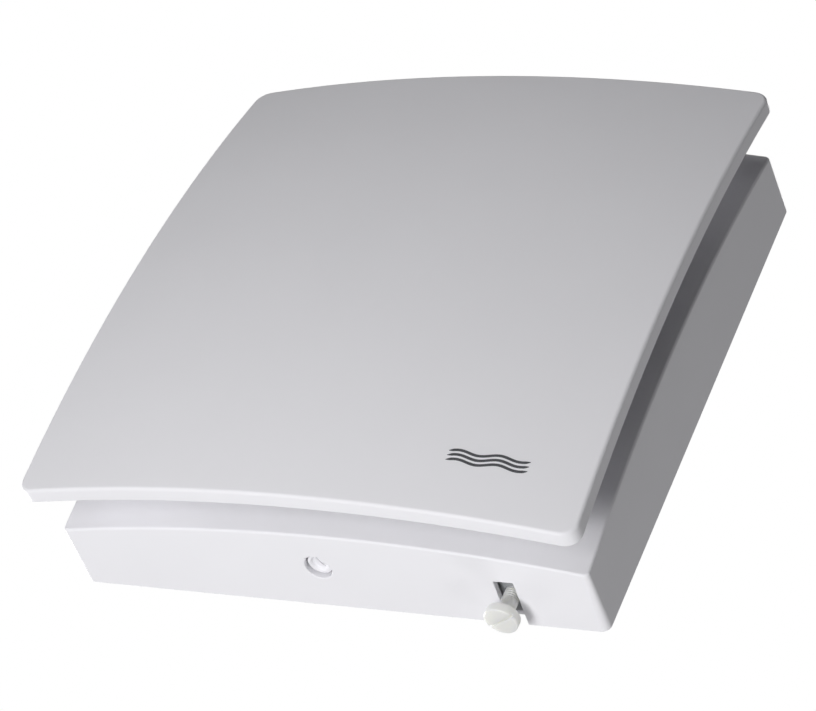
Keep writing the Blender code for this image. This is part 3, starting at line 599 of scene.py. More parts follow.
housing = {
    "frontX": 0.2391,  # outline at the front edge
    "frontZ": 0.2373,
    "dropX": 0.0097,
    "dropZ": 0.0094,
    "apex": 0.0497,
    "backCorner": 0.0036,
    "frontCorner": 0.0022,
    "skin": 0.0023,
    "frontEdge": 0.0010,
    "pocket": 0.146,
    "pocketCorner": 0.004,
    "pocketWall": 0.002,
    "pocketBack": 0.031,
    "ledge": 0.005,
    "ledgeThick": 0.0012,
    "notchCentre": 0.0818,
    "notchWidth": 0.0083,
    "notchEnd": 0.0232,
    "lockHole": 0.0060,
    "softHole": 0.00015,
    "socketHole": 0.0073,
}
housingLow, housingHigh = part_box("housing_shell")
housingBack = housingHigh.x - housingLow.x


# Depth of the housing's domed face: the apex less a parabola each way
def housingDepth(x, z):
    h = housing
    return h["apex"] - h["dropX"] * (2 * x / h["frontX"]) ** 2 - h["dropZ"] * (2 * z / h["frontZ"]) ** 2


# The housing as rings that go round its section and close on themselves: side wall from the back to
# the front edge, dome in to the filter pocket, down the pocket, out under it, and back inside the walls
def makeHousing():
    h = housing
    skin, edge, corner = h["skin"], h["frontEdge"], h["frontCorner"]
    outerBack = roundRect(housingBack, housingBack, h["backCorner"])
    outerFront = roundRect(h["frontX"], h["frontZ"], corner)
    brow = roundRect(h["frontX"] - 2 * edge, h["frontZ"] - 2 * edge, corner - edge)
    lip = roundRect(h["pocket"] + 0.0016, h["pocket"] + 0.0016, h["pocketCorner"] + 0.0008)
    pocket = roundRect(h["pocket"], h["pocket"], h["pocketCorner"])
    window = roundRect(h["pocket"] - 2 * h["ledge"], h["pocket"] - 2 * h["ledge"], 0.003)
    wallOut = h["pocket"] + 2 * h["pocketWall"]
    pocketOut = roundRect(wallOut, wallOut, 0.006)
    innerFront = roundRect(h["frontX"] - 2 * skin, h["frontZ"] - 2 * skin, 0.0012)
    innerBack = roundRect(housingBack - 2 * skin, housingBack - 2 * skin, 0.0018)
    turn = np.linspace(0, np.pi / 2, 6)
    rings = []

    def add(ring, depth):
        rings.append(np.stack([ring[:, 0], -np.broadcast_to(depth, len(ring)), ring[:, 1]], -1))

    def domed(ring, under=0.0):
        return housingDepth(*ring.T) - under

    frontLine = domed(outerFront, edge)
    add(outerBack * (1 - 0.0006 / housingBack), 0.0)
    for t in np.linspace(0.008, 1, 10):
        add(outerBack + (outerFront - outerBack) * t, frontLine * t)
    for a in turn[1:]:
        ring = outerFront + (brow - outerFront) * (1 - math.cos(a))
        add(ring, domed(ring, edge * (1 - math.sin(a))))
    for t in np.linspace(0, 1, 14)[1:]:
        ring = brow + (lip - brow) * t
        add(ring, domed(ring))
    for a in turn[1:]:
        ring = lip + (pocket - lip) * math.sin(a)
        add(ring, domed(ring, 0.0008 * (1 - math.cos(a))))
    shelf = h["pocketBack"] + h["ledgeThick"]
    add(pocket, shelf + 0.0002)
    add(pocket * (1 - 0.0004 / h["pocket"]), shelf)
    add(window, shelf)
    add(window, h["pocketBack"])
    add(pocketOut, h["pocketBack"])
    add(pocketOut, domed(pocketOut, skin))
    for t in np.linspace(0, 1, 10)[1:]:
        ring = pocketOut + (innerFront - pocketOut) * t
        add(ring, domed(ring, skin))
    innerLine = domed(innerFront, skin)
    for t in np.linspace(1, 0, 5)[1:]:
        add(innerBack + (innerFront - innerBack) * t, innerLine * t)
    shell = loftMesh("housingShell", rings, "white_plastic", wrap=True)

    lockLow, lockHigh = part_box("lock_screw")
    lockDepth = -(lockLow.y + lockHigh.y) / 2
    wallSlope = (housingBack - h["frontZ"]) / 2 / float(frontLine.min() + edge)
    wallLevel = -housingBack / 2 + wallSlope * lockDepth
    place = (0, -lockDepth, 0)
    rim, cupRadius, cupTop = wallLevel + 0.001, 0.0078, -0.1122
    cup = softProfile([(0, rim), (cupRadius, rim), (cupRadius, cupTop, 0.0005), (0, cupTop)])
    carve(shell, [turnedPiece("lockCup", cup[1:-1], None, upright=place, around=64)], "UNION")
    hole, soft = h["lockHole"], h["softHole"]
    mouth = [(0, wallLevel - 0.002), (hole + soft + 0.002, wallLevel - 0.002), (hole + soft * 2, wallLevel)]
    mouth += [(hole, wallLevel, soft), (hole, -0.1134, 0.0004), (0, -0.1134)]
    tilted = turnedPiece("lockMouth", softProfile(mouth)[1:-1], None, upright=(0, 0, 0), around=64)
    pivot = Matrix.Translation((0, -lockDepth, wallLevel))
    lean = Matrix.Rotation(-math.atan(wallSlope), 4, "X")
    tilted.data.transform(pivot @ lean @ Matrix.Translation((0, 0, -wallLevel)))
    bore = drill("lockBore", 0.0029, (-0.116, -0.110), upright=place, around=40)

    # the notch: a square slot in the wall's own plane whose edge flares where it meets the outside
    slotLong = h["notchEnd"] + 0.010
    notchRings = []
    for grow, rise in [(0.0005, -0.003), (0.0003, -0.0002), (0.0001, 0.0001), (0.0, 0.0003), (0.0, 0.012)]:
        ring = roundRect(h["notchWidth"] + 2 * grow, slotLong + 2 * grow, 0.0003 + grow, 6, 5)
        x, along = ring.T
        depth = along + h["notchEnd"] - slotLong / 2
        level = -housingBack / 2 + wallSlope * depth + rise
        notchRings.append(np.stack([x + h["notchCentre"], -depth, level], -1))
    notch = loftMesh("notch", notchRings, None)
    carve(shell, [tilted, bore, notch])

    holes = []
    for n in range(1, 5):
        holes.append(drill(f"socketHole{n}", h["socketHole"], (0.030, 0.050), middleOf(f"post_socket_{n}")))
    carve(shell, holes, sharp=35)
    settle(shell, "white_plastic", "base", "housing_shell")


print("housing")
makeHousing()

# Thumb screw and lock screw

thumbScrew = {
    "shank": 0.0034,
    "pitch": 0.001,
    "threadDeep": 0.00035,
    "threadFrom": 0.0095,  # height above the head's face where the thread starts
    "slotAngle": 56,
    "slotWidth": 0.0013,
    "slotDeep": 0.0011,
}


# The thumb screw: a turned head and shank, and above the plain neck the radius is cut by a helix,
# a triangle wave of height along the pitch less the angle
def makeThumbScrew():
    k = thumbScrew
    low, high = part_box("thumb_knob")
    x, y = (low.x + high.x) / 2, (low.y + high.y) / 2
    head, thick, tall = (high.x - low.x) / 2, 0.004, high.z - low.z
    profile = softProfile(
        [
            (0.0004, 0.0),
            (head, 0.0, 0.0007),
            (head, thick, 0.0005),
            (k["shank"] + 0.0001, thick, 0.0006),
            (k["shank"], 0.006),
        ],
        6,
    )
    heights = np.linspace(0.006, tall - 0.0008, 170)
    stem = np.stack([np.full_like(heights, k["shank"]), heights], -1)
    tip = np.array([(k["shank"] - 0.0007, tall - 0.0001), (k["shank"] - 0.0012, tall), (0.0002, tall)])
    profile = np.concatenate([profile, stem[1:], tip])
    angles = np.linspace(0, 2 * np.pi, 72, endpoint=False)
    radius, level = profile[:, :1], profile[:, 1:]
    phase = (level / k["pitch"] - angles / (2 * np.pi)) % 1.0
    thread = np.clip(np.abs(phase - 0.5) * 2 * 1.3 - 0.15, 0, 1)
    inThread = np.clip((level - k["threadFrom"]) / 0.001, 0, 1) * (radius > k["shank"] - 0.0001)
    radius = radius - k["threadDeep"] * thread * inThread
    across, over = radius * np.cos(angles), radius * np.sin(angles)
    rings = np.stack([x + across, y + over, low.z + level + 0 * angles], -1)
    screw = loftMesh("thumbScrew", rings, "milky_nylon", sharp=50)
    slot = slotCutter("thumbSlot", k["slotWidth"], 0.02, k["slotDeep"])
    turn = Matrix.Rotation(math.radians(k["slotAngle"]), 4, "Z")
    slot.data.transform(Matrix.Translation((x, y, low.z)) @ turn)
    carve(screw, [slot], sharp=40)
    settle(screw, "milky_nylon", "knob", "thumb_knob")


# A bar with round inner edges that cuts a screwdriver slot up from z = 0, long way along Y
def slotCutter(name, width, long, deep):
    rings, rows = [], [(0.0004, -0.002), (0.0002, -0.0001), (0.00005, 0.0001), (0, 0.0003)]
    for grow, rise in rows + [(0, deep - 0.0002), (-0.0002, deep)]:
        ring = roundRect(width + 2 * grow, long + 2 * grow, 0.0002, 2, 2)
        rings.append(np.stack([ring[:, 0], ring[:, 1], np.full(len(ring), rise)], -1))
    return loftMesh(name, rings, None)


lockScrew = {
    "proud": 0.0014,  # how far the head's face stands below its CAD node
    "rim": 0.0007,
    "dish": 0.0038,
    "dishDeep": 0.0013,
    "slotWidth": 0.0010,
    "slotLong": 0.0058,
    "slotAngle": -30,
}


# The lock screw: a round head with a raised rim round a steep-sided dish, a slot across its floor
def makeLockScrew():
    s = lockScrew
    low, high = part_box("lock_screw")
    x, y = (low.x + high.x) / 2, (low.y + high.y) / 2
    head, bottom, top = (high.x - low.x) / 2, low.z - s["proud"], high.z
    seat, floorLevel, shank = low.z + 0.0023, bottom + s["dishDeep"], 0.0025
    corners = [
        (0.0004, floorLevel - 0.0002),
        (s["dish"] - 0.0006, floorLevel, 0.0005),
        (s["dish"], bottom + 0.0003, 0.0003),
        (s["dish"] + s["rim"] / 2, bottom, 0.0002),
        (head, bottom, 0.0004),
        (head, seat, 0.0003),
        (shank, seat, 0.0003),
        (shank, top, 0.0006),
        (0.0003, top),
    ]
    screw = turnedPiece("lockScrew", softProfile(corners, 5), "white_plastic", around=72, upright=(x, y, 0))
    slot = slotCutter("lockSlot", s["slotWidth"], s["slotLong"], s["dishDeep"] + 0.0007)
    turn = Matrix.Rotation(math.radians(s["slotAngle"]), 4, "Z")
    slot.data.transform(Matrix.Translation((x, y, bottom)) @ turn)
    carve(screw, [slot])
    settle(screw, "white_plastic", "lock", "lock_screw")


print("thumb screw and lock screw")
makeThumbScrew()
makeLockScrew()

# Filter, sockets, posts and sound mat

airFilter = {
    "side": 0.144,
    "back": 0.0325,
    "front": 0.0388,
    "rim": 0.0065,
    "bar": 0.004,
    "floor": 0.0012,
    "pleats": 20,
    "pleatDeep": 0.0016,
    "tabWide": 0.024,
}


# The frame: a tray with four panes left open under the mat, and a tab to pull it out by
def makeFilterFrame():
    f = airFilter
    low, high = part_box("filter_mat")
    side, back, front = f["side"], f["back"], f["front"]
    tray = slabPiece("filterFrame", (side, side), (back, front), 0.003, 0.0005, "grey_plastic")
    inside = side - 2 * f["rim"]
    cutters = [slabPiece("room", (inside, inside), (back + f["floor"], front + 0.004), 0.002, 0.0003)]
    pane = (inside - f["bar"]) / 2
    for n, (sx, sz) in enumerate([(1, 1), (-1, 1), (-1, -1), (1, -1)]):
        place = (sx * (pane + f["bar"]) / 2, sz * (pane + f["bar"]) / 2)
        depths = (back - 0.004, front + 0.004)
        cutters.append(slabPiece(f"pane{n}", (pane, pane), depths, 0.002, 0.0003, middle=place))
    carve(tray, cutters)
    size, place = (f["tabWide"], 0.0025), (0, 0.00325 - side / 2)
    tab = slabPiece("tab", size, (front - 0.001, front + 0.0035), 0.001, 0.0006, middle=place)
    carve(tray, [tab], "UNION")
    settle(tray, "grey_plastic", "base", "filter_frame")

    # the mat: its front is a row of rounded pleats, a cosine raised to a soft ridge; its back is flat
    across = np.linspace(low.x, high.x, 20 * f["pleats"] + 1)
    wave = 0.5 - 0.5 * np.cos(2 * np.pi * f["pleats"] * (across - low.x) / (high.x - low.x))
    outline = np.linspace(0, 1, 24)
    level = low.z + (high.z - low.z) * outline
    fall = f["pleatDeep"] * (1 - wave**0.7)[:, None] + 0.0008 * (np.abs(outline * 2 - 1) ** 40)[None, :]
    x, z = np.meshgrid(across, level, indexing="ij")
    front = np.stack([x, low.y + fall, z], -1)
    back = np.stack([x, np.full_like(x, high.y), z], -1)
    mat = sheetSolid("filterMat", front, back, "filter_fleece", 60)
    settle(mat, "filter_fleece", "base", "filter_mat")


# Two grids over the same rectangle joined round their edges into a closed sheet
def sheetSolid(name, front, back, slot, sharp=40):
    rows, columns = front.shape[:2]
    points = np.concatenate([front.reshape(-1, 3), back.reshape(-1, 3)])
    i, j = np.meshgrid(np.arange(rows - 1), np.arange(columns - 1), indexing="ij")
    a = (i * columns + j).ravel()
    quads = np.stack([a, a + 1, a + columns + 1, a + columns], -1)
    edge = np.concatenate([
        np.arange(columns),
        np.arange(1, rows) * columns + columns - 1,
        (rows - 1) * columns + np.arange(columns - 2, -1, -1),
        np.arange(rows - 2, 0, -1) * columns,
    ])
    after, shift = np.roll(edge, -1), rows * columns
    walls = np.stack([edge, after, after + shift, edge + shift], -1)
    faces = np.concatenate([quads, quads[:, ::-1] + shift, walls]).tolist()
    return meshPiece(name, points, faces, slot, sharp)


# A post stands on the panel and snaps into its socket in the housing's corner
def makePostsAndSockets():
    for n in range(1, 5):
        centre = middleOf(f"panel_post_{n}")
        corners = [
            (0, 0.0682),
            (0.0020, 0.0682, 0.0003),
            (0.0020, 0.0657, 0.0002),
            (0.0070, 0.0657, 0.0004),
            (0.0070, 0.0640, 0.0008),
            (0.0038, 0.0615, 0.0010),
            (0.0038, 0.0385, 0.0008),
            (0.0041, 0.0370, 0.0005),
            (0.0041, 0.0355, 0.0005),
            (0.0036, 0.0340, 0.0005),
            (0.0025, 0.0325, 0.0004),
            (0, 0.0325),
        ]
        post = solidTurned(f"panelPost{n}", corners, "white_plastic", centre, 48)
        settle(post, "white_plastic", "panel", f"panel_post_{n}")
        corners = [
            (0.0069, 0.0415, 0.0005),
            (0.0069, 0.0347, 0.0002),
            (0.0095, 0.0347, 0.0004),
            (0.0095, 0.0325, 0.0004),
            (0.0044, 0.0325, 0.0003),
            (0.0044, 0.0415, 0.0006),
        ]
        socket = ringPiece(f"postSocket{n}", corners, "grey_plastic", 48, centre)
        settle(socket, "grey_plastic", "base", f"post_socket_{n}")


soundMat = {"side": 0.150, "thick": 0.006, "bumps": 12, "bumpDeep": 0.0016}


# The mat follows the crown a skin's thickness in; behind it cosine bumps each way make egg-crate foam
def makeSoundMat():
    m = soundMat
    line = np.linspace(-m["side"] / 2, m["side"] / 2, 8 * m["bumps"] + 1)
    x, z = np.meshgrid(line, line, indexing="ij")
    edge = np.maximum(np.abs(x), np.abs(z)) / (m["side"] / 2)
    soft = 0.0008 * np.clip((edge - 0.985) / 0.015, 0, 1)
    front = panelDepth(x, z) - panel["skin"] - 0.0003
    phase = 2 * np.pi * m["bumps"] / m["side"]
    bumps = (0.5 - 0.5 * np.cos(phase * (x - line[0]))) * (0.5 - 0.5 * np.cos(phase * (z - line[0])))
    back = front - m["thick"] + m["bumpDeep"] * (1 - bumps)
    mat = sheetSolid(
        "soundMat", np.stack([x, soft - front, z], -1), np.stack([x, -soft - back, z], -1), "foam", 60
    )
    settle(mat, "foam", "panel", "sound_mat")


print("filter, posts and sound mat")
makeFilterFrame()
makePostsAndSockets()
makeSoundMat()

# Wall plate, duct spigot and regenerator

wallPlate = {
    "side": 0.231,
    "thick": 0.0025,
    "corner": 0.006,
    "keyholes": (0.102, 0.050),
    "keyhole": 0.0044,
    "keySlot": 0.0048,
    "keyRise": 0.0095,
    "screwCircle": 0.0835,
    "screwHole": 0.0019,
    "hookX": 0.060,
}


def makeWallPlate():
    w = wallPlate
    half = w["side"] / 2
    size = (w["side"], w["side"])
    plate = slabPiece("wallPlate", size, (0, w["thick"]), w["corner"], 0.0005, "white_plastic")
    inlet, through = middleOf("cable_grommet"), (-0.01, 0.01)
    cutters = [drill("plateBore", 0.0765, through, around=128), drill("plateInlet", 0.006, through, inlet)]
    for n, (sx, sz) in enumerate([(1, 1), (-1, 1), (-1, -1), (1, -1)]):
        x, z = sx * w["keyholes"][0], sz * w["keyholes"][1]
        cutters.append(drill(f"keyhole{n}", w["keyhole"], through, (x, z)))
        size = (w["keySlot"], w["keyRise"] + w["keySlot"] / 2)
        place = (x, z + w["keyRise"] - size[1] / 2)
        cutters.append(slabPiece(f"keySlot{n}", size, through, w["keySlot"] / 2, 0.0001, middle=place))
    for n, (_, x, z) in enumerate(circlePlaces(4, 45, w["screwCircle"])):
        cutters.append(drill(f"plateHole{n}", w["screwHole"], through, (x, z), around=24))
    carve(plate, cutters)
    lug = slabPiece("lug", (0.018, 0.0095), (0.002, 0.029), 0.0012, 0.0006, middle=(0, -0.10675))
    joined = [lug]
    for n, side in enumerate((-1, 1)):
        x = side * w["hookX"]
        foot, lip = (x, half - 0.0045), (x, half - 0.00095)
        joined.append(slabPiece(f"foot{n}", (0.016, 0.004), (0.002, 0.008), 0.0005, 0.0004, middle=foot))
        joined.append(slabPiece(f"lip{n}", (0.016, 0.0041), (0.0056, 0.008), 0.0005, 0.0004, middle=lip))
    carve(plate, joined, "UNION")
    lockLow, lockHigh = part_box("lock_screw")
    place = (0, (lockLow.y + lockHigh.y) / 2, 0)
    carve(plate, [drill("lugBore", 0.0029, (-0.12, -0.09), upright=place, around=40)])
    settle(plate, "white_plastic", "base", "wall_plate")


duct = {"radius": 0.076, "bore": 0.0735, "reach": 0.046, "flange": 0.088}


# The spigot: a tube with a flange in front, a lip that holds the core and a chamfered end
def makeSpigot():
    d = duct
    corners = [
        (d["flange"], 0.0070, 0.0006),
        (d["flange"], 0.0046, 0.0004),
        (d["radius"], 0.0046, 0.0004),
        (d["radius"], -d["reach"], 0.0010),
        (d["bore"], -d["reach"], 0.0005),
        (d["bore"], -0.0400, 0.0003),
        (0.0690, -0.0400, 0.0004),
        (0.0690, -0.0384, 0.0003),
        (d["bore"], -0.0384, 0.0003),
        (d["bore"], 0.0070, 0.0004),
    ]
    tube = ringPiece("ductSpigot", corners, "white_plastic", 160)
    holes = circlePlaces(4, 45, wallPlate["screwCircle"])
    cutters = []
    for n, (_, x, z) in enumerate(holes):
        cutters.append(drill(f"flangeHole{n}", wallPlate["screwHole"], (0, 0.01), (x, z), around=24))
    carve(tube, cutters)
    settle(tube, "white_plastic", "base", "duct_spigot")
    gasket = plainRing("flangeGasket", (0.0770, 0.0805), (0.0028, 0.0043), 0.0003, "foam")
    settle(gasket, "foam", "base", "flange_gasket")
    root, lip, bore = 0.0774, 0.0790, d["radius"] + 0.0003
    corners = [
        (root, -0.0282, 0.0003),
        (lip, -0.0314, 0.0002),
        (lip, -0.0318, 0.0002),
        (root, -0.0316, 0.0003),
        (root, -0.0338, 0.0004),
        (bore, -0.0338, 0.0003),
        (bore, -0.0282, 0.0003),
    ]
    seal = ringPiece("spigotSeal", corners, "rubber", 160, sharp=50)
    settle(seal, "rubber", "base", "spigot_seal")


core = {"radius": 0.0702, "back": -0.0381, "front": -0.0140, "pitch": 0.0032, "wall": 0.0006}


# The ceramic core: a disc with a square channel in every square of a lattice that lies inside its rim
def makeCore():
    c = core
    radius, front, back = c["radius"], c["front"], c["back"]
    corners = [(0, front), (radius, front, 0.0004), (radius, back, 0.0004), (0, back)]
    disc = solidTurned("regeneratorCore", corners, "ceramic", around=160)
    count = int(c["radius"] / c["pitch"]) + 1
    steps = np.arange(-count, count + 1) * c["pitch"]
    x, z = (grid.ravel() for grid in np.meshgrid(steps, steps))
    half = (c["pitch"] - c["wall"]) / 2
    inside = np.hypot(np.abs(x) + half, np.abs(z) + half) < c["radius"] - 0.0012
    centres = np.stack([x[inside], np.zeros(inside.sum()), z[inside]], -1)
    unit = np.array([(a, b, e) for b in (0, 1) for a, e in [(-1, -1), (1, -1), (1, 1), (-1, 1)]], float)
    back, front = -c["back"] + 0.002, -c["front"] - 0.002
    unit = unit * (half, back - front, half) + (0, front, 0)
    points = (centres[:, None, :] + unit[None]).reshape(-1, 3)
    sides = [(0, 1, 2, 3), (7, 6, 5, 4), (0, 4, 5, 1), (1, 5, 6, 2), (2, 6, 7, 3), (3, 7, 4, 0)]
    faces = (np.arange(len(centres))[:, None, None] * 8 + np.array(sides)[None]).reshape(-1, 4).tolist()
    channels = meshPiece("channels", points, faces, None)
    cut = disc.modifiers.new("channels", "BOOLEAN")
    cut.operation, cut.solver, cut.object = "DIFFERENCE", "MANIFOLD", channels
    carve(disc, [])
    bpy.data.objects.remove(channels)
    settle(disc, "ceramic", "base", "regenerator_core")
    print("  channels in the core:", len(centres))
    sleeve = plainRing("coreSleeve", (0.0705, 0.0732), (c["back"], c["front"]), 0.0004, "foam", 160)
    settle(sleeve, "foam", "base", "core_sleeve")
    depths = (c["front"] + 0.0003, c["front"] + 0.0023)
    ring = plainRing("coreRetainer", (0.0640, 0.0732), depths, 0.0005, "grey_plastic", 160)
    bars = [
        slabPiece(f"bar{n}", (0.134, 0.005), depths, 0.001, 0.0005, turn=n * math.pi / 2) for n in range(2)
    ]
    carve(ring, bars, "UNION")
    settle(ring, "grey_plastic", "base", "core_retainer")


print("wall plate, spigot and regenerator")
makeWallPlate()
makeSpigot()
makeCore()

# Fan and motor

fan = {
    "bore": 0.0695,
    "seat": 0.012,
    "outer": 0.0729,
    "base": (0.0076, 0.0100),
    "struts": 3,
    "strutWide": 0.0055,
    "pins": 3,
    "leadAngle": 120,  # the strut that the motor's lead runs along, in degrees
}


def makeFanFrame():
    f = fan
    corners = [
        (f["outer"], f["seat"], 0.0006),
        (f["outer"], 0.0098, 0.0003),
        (duct["flange"], 0.0098, 0.0006),
        (duct["flange"], 0.0073, 0.0004),
        (f["outer"], 0.0073, 0.0003),
        (f["outer"], -0.0100, 0.0006),
        (f["bore"], -0.0100, 0.0010),
        (f["bore"], f["seat"], 0.0010),
    ]
    frame = ringPiece("fanFrame", corners, "black_plastic", 160)
    back, front = f["base"]
    corners = [
        (0, front),
        (0.0200, front, 0.0008),
        (0.0200, back, 0.0004),
        (0.0056, back, 0.0006),
        (0.0056, -0.0040, 0.0003),
        (0.0042, -0.0040, 0.0003),
        (0.0042, 0.0088, 0.0002),
        (0, 0.0088),
    ]
    parts = [solidTurned("motorBase", corners, None, around=96)]
    depths = (back + 0.0001, front - 0.0001)
    for n, (angle, _, _) in enumerate(circlePlaces(f["struts"], 0, 1)):
        parts.append(spokePiece(f"strut{n}", angle, (0.018, 0.0712), f["strutWide"], depths, 0.0008))
    carve(frame, parts, "UNION")
    cutters = []
    for n, (_, x, z) in enumerate(circlePlaces(4, 45, wallPlate["screwCircle"])):
        cutters.append(drill(f"frameHole{n}", wallPlate["screwHole"], (0, 0.02), (x, z), around=24))
    for n, (_, x, z) in enumerate(circlePlaces(f["pins"], 90, wallPlate["screwCircle"])):
        cutters.append(drill(f"pinHole{n}", 0.0023, (0, 0.02), (x, z), around=24))
    angle = math.radians(f["leadAngle"])
    cutters.append(spokePiece("leadNotch", angle, (0.0685, 0.0745), 0.0028, (0.0100, 0.0130), 0.0002))
    carve(frame, cutters)
    settle(frame, "black_plastic", "base", "fan_frame")


impeller = {
    "blades": 7,
    "tip": 0.0679,
    "root": 0.0212,
    "hub": 0.022,
    "sweep": 0.30,
    "span": 0.62,
    "rise": 0.0096,
    "camber": 0.0010,
    "thick": 0.0016,
}


# A blade is a grid of out (root to tip) and chord (edge to edge): its angle is the chord times the span
# plus the sweep times out squared, its depth the chord times the rise plus a cambered parabola, and its
# thickness an aerofoil's, full behind the leading edge and thin at the trailing edge
def makeImpeller():
    w = impeller
    cup, wall, back, front, bore = w["hub"], 0.0201, -0.007, 0.007, 0.0018
    corners = [
        (cup, front, 0.0004),
        (cup, back, 0.0022),
        (bore, back, 0.0003),
        (bore, back + 0.002, 0.0002),
        (wall, back + 0.002, 0.0008),
        (wall, front, 0.0003),
    ]
    hub = ringPiece("impellerWheel", corners, "black_plastic", 105)
    out, chord = np.meshgrid(np.linspace(0, 1, 22), np.linspace(-0.5, 0.5, 18), indexing="ij")
    radius = w["root"] + out * (w["tip"] - w["root"])
    run = np.clip(0.5 - chord, 0, 1)
    half = w["thick"] / 2 * (np.sqrt(run + 0.002) * (1 - run) * 2.2 + 0.32)
    tipRound = np.clip(np.minimum(0.5 - np.abs(chord), (1 - out) * 0.6 + 0.02) / 0.03, 0, 1) ** 0.5
    half = half * (0.35 + 0.65 * tipRound)
    trim = 0.06 * np.clip((out - 0.85) / 0.15, 0, 1) ** 2
    across = chord * (1 - trim)
    blades = []
    for n in range(w["blades"]):
        angle = 2 * np.pi * n / w["blades"] + w["sweep"] * out**2 + across * (w["span"] - 0.08 * out)
        depth = w["rise"] * across * (1 - 0.30 * out) - 0.0004 + w["camber"] * (0.25 - across**2)
        x, z = radius * np.cos(angle), radius * np.sin(angle)
        sides = [np.stack([x, -depth - s * half, z], -1) for s in (1, -1)]
        blades.append(sheetSolid(f"blade{n}", *sides, None, 60))
    carve(hub, blades, "UNION", 45)
    settle(hub, "black_plastic", "rotor", "impeller")


motor = {"coils": 6, "outer": 0.0170, "inner": 0.0059, "back": -0.0032, "front": 0.0064}


# The stator: an iron hub with a tooth for each coil; a coil is a wound loop, its section ribbed like wire
def makeStator():
    m = motor
    stack = (m["back"] + 0.0022, m["front"] - 0.0022)
    hub = plainRing("motorStator", (m["inner"], 0.0090), stack, 0.0003, "copper_and_core", 72)
    parts = []
    for n, (angle, _, _) in enumerate(circlePlaces(m["coils"], 0, 1)):
        parts.append(spokePiece(f"tooth{n}", angle, (0.0085, 0.0160), 0.0030, stack, 0.0003))
        arc = np.linspace(angle - 0.42, angle + 0.42, 14)
        inner = np.stack([0.0158 * np.cos(arc), 0 * arc, 0.0158 * np.sin(arc)], -1)
        outer = np.stack([m["outer"] * np.cos(arc), 0 * arc, m["outer"] * np.sin(arc)], -1)
        tip = np.concatenate([inner, outer[::-1]])
        rings = [tip - (0, stack[0], 0), tip - (0, stack[1], 0)]
        parts.append(loftMesh(f"tip{n}", rings, None))
        parts.append(coil(f"coil{n}", angle, (0.0094, 0.0154), 0.0018, (m["back"], m["front"])))
    carve(hub, parts, "UNION")
    settle(hub, "copper_and_core", "base", "motor_stator")
    magnet = plainRing("rotorMagnet", (0.0176, 0.0198), (-0.0040, 0.0060), 0.0003, "magnet", 96)
    settle(magnet, "magnet", "rotor", "rotor_magnet")
    corners = [(0, 0.0082), (0.0015, 0.0082, 0.0003), (0.0015, -0.0068, 0.0003), (0, -0.0068)]
    shaft = solidTurned("rotorShaft", corners, "steel", around=48)
    settle(shaft, "steel", "rotor", "rotor_shaft")
    makeBearing("bearingRear", "bearing_rear", -0.0037)
    makeBearing("bearingFront", "bearing_front", 0.0052)


# A coil stands round its tooth: turn after turn of wire along the tooth, each a rounded loop
def coil(name, angle, radii, half, depths):
    turns = 9
    along = np.linspace(0, 1, turns * 6 + 1)
    ribs = 0.00022 * np.abs(np.sin(np.pi * turns * along))
    ends = np.clip(np.minimum(along, 1 - along) / 0.06, 0, 1) ** 0.5
    out = radii[0] + along * (radii[1] - radii[0])
    middle, tall = (depths[0] + depths[1]) / 2, (depths[1] - depths[0]) / 2
    rings = []
    for r, rib, end in zip(out, ribs, ends):
        wide = (half + 0.0009 * (r - radii[0]) / (radii[1] - radii[0]) + 0.0009) * (0.8 + 0.2 * end) + rib
        loop = roundRect(2 * wide, 2 * (tall - 0.0003) * (0.85 + 0.15 * end) + 2 * rib, 0.0012, 2, 4)
        side, depth = loop.T
        x = r * math.cos(angle) - side * math.sin(angle)
        z = r * math.sin(angle) + side * math.cos(angle)
        rings.append(np.stack([x, -(middle + depth), z], -1))
    return loftMesh(name, rings, None, sharp=70)


# A small ball bearing: outer and inner race with a shield set back between them on both faces
def makeBearing(name, node, back):
    front, inner, outer, recess = back + 0.0025, 0.0018, 0.0039, 0.00025
    corners = [
        (outer, front, 0.0002),
        (outer, back, 0.0002),
        (0.0033, back),
        (0.0033, back + recess),
        (0.0024, back + recess),
        (0.0024, back),
        (inner, back, 0.0001),
        (inner, front, 0.0001),
        (0.0024, front),
        (0.0024, front - recess),
        (0.0033, front - recess),
        (0.0033, front),
    ]
    settle(ringPiece(name, corners, "steel", 60), "steel", "base", node)


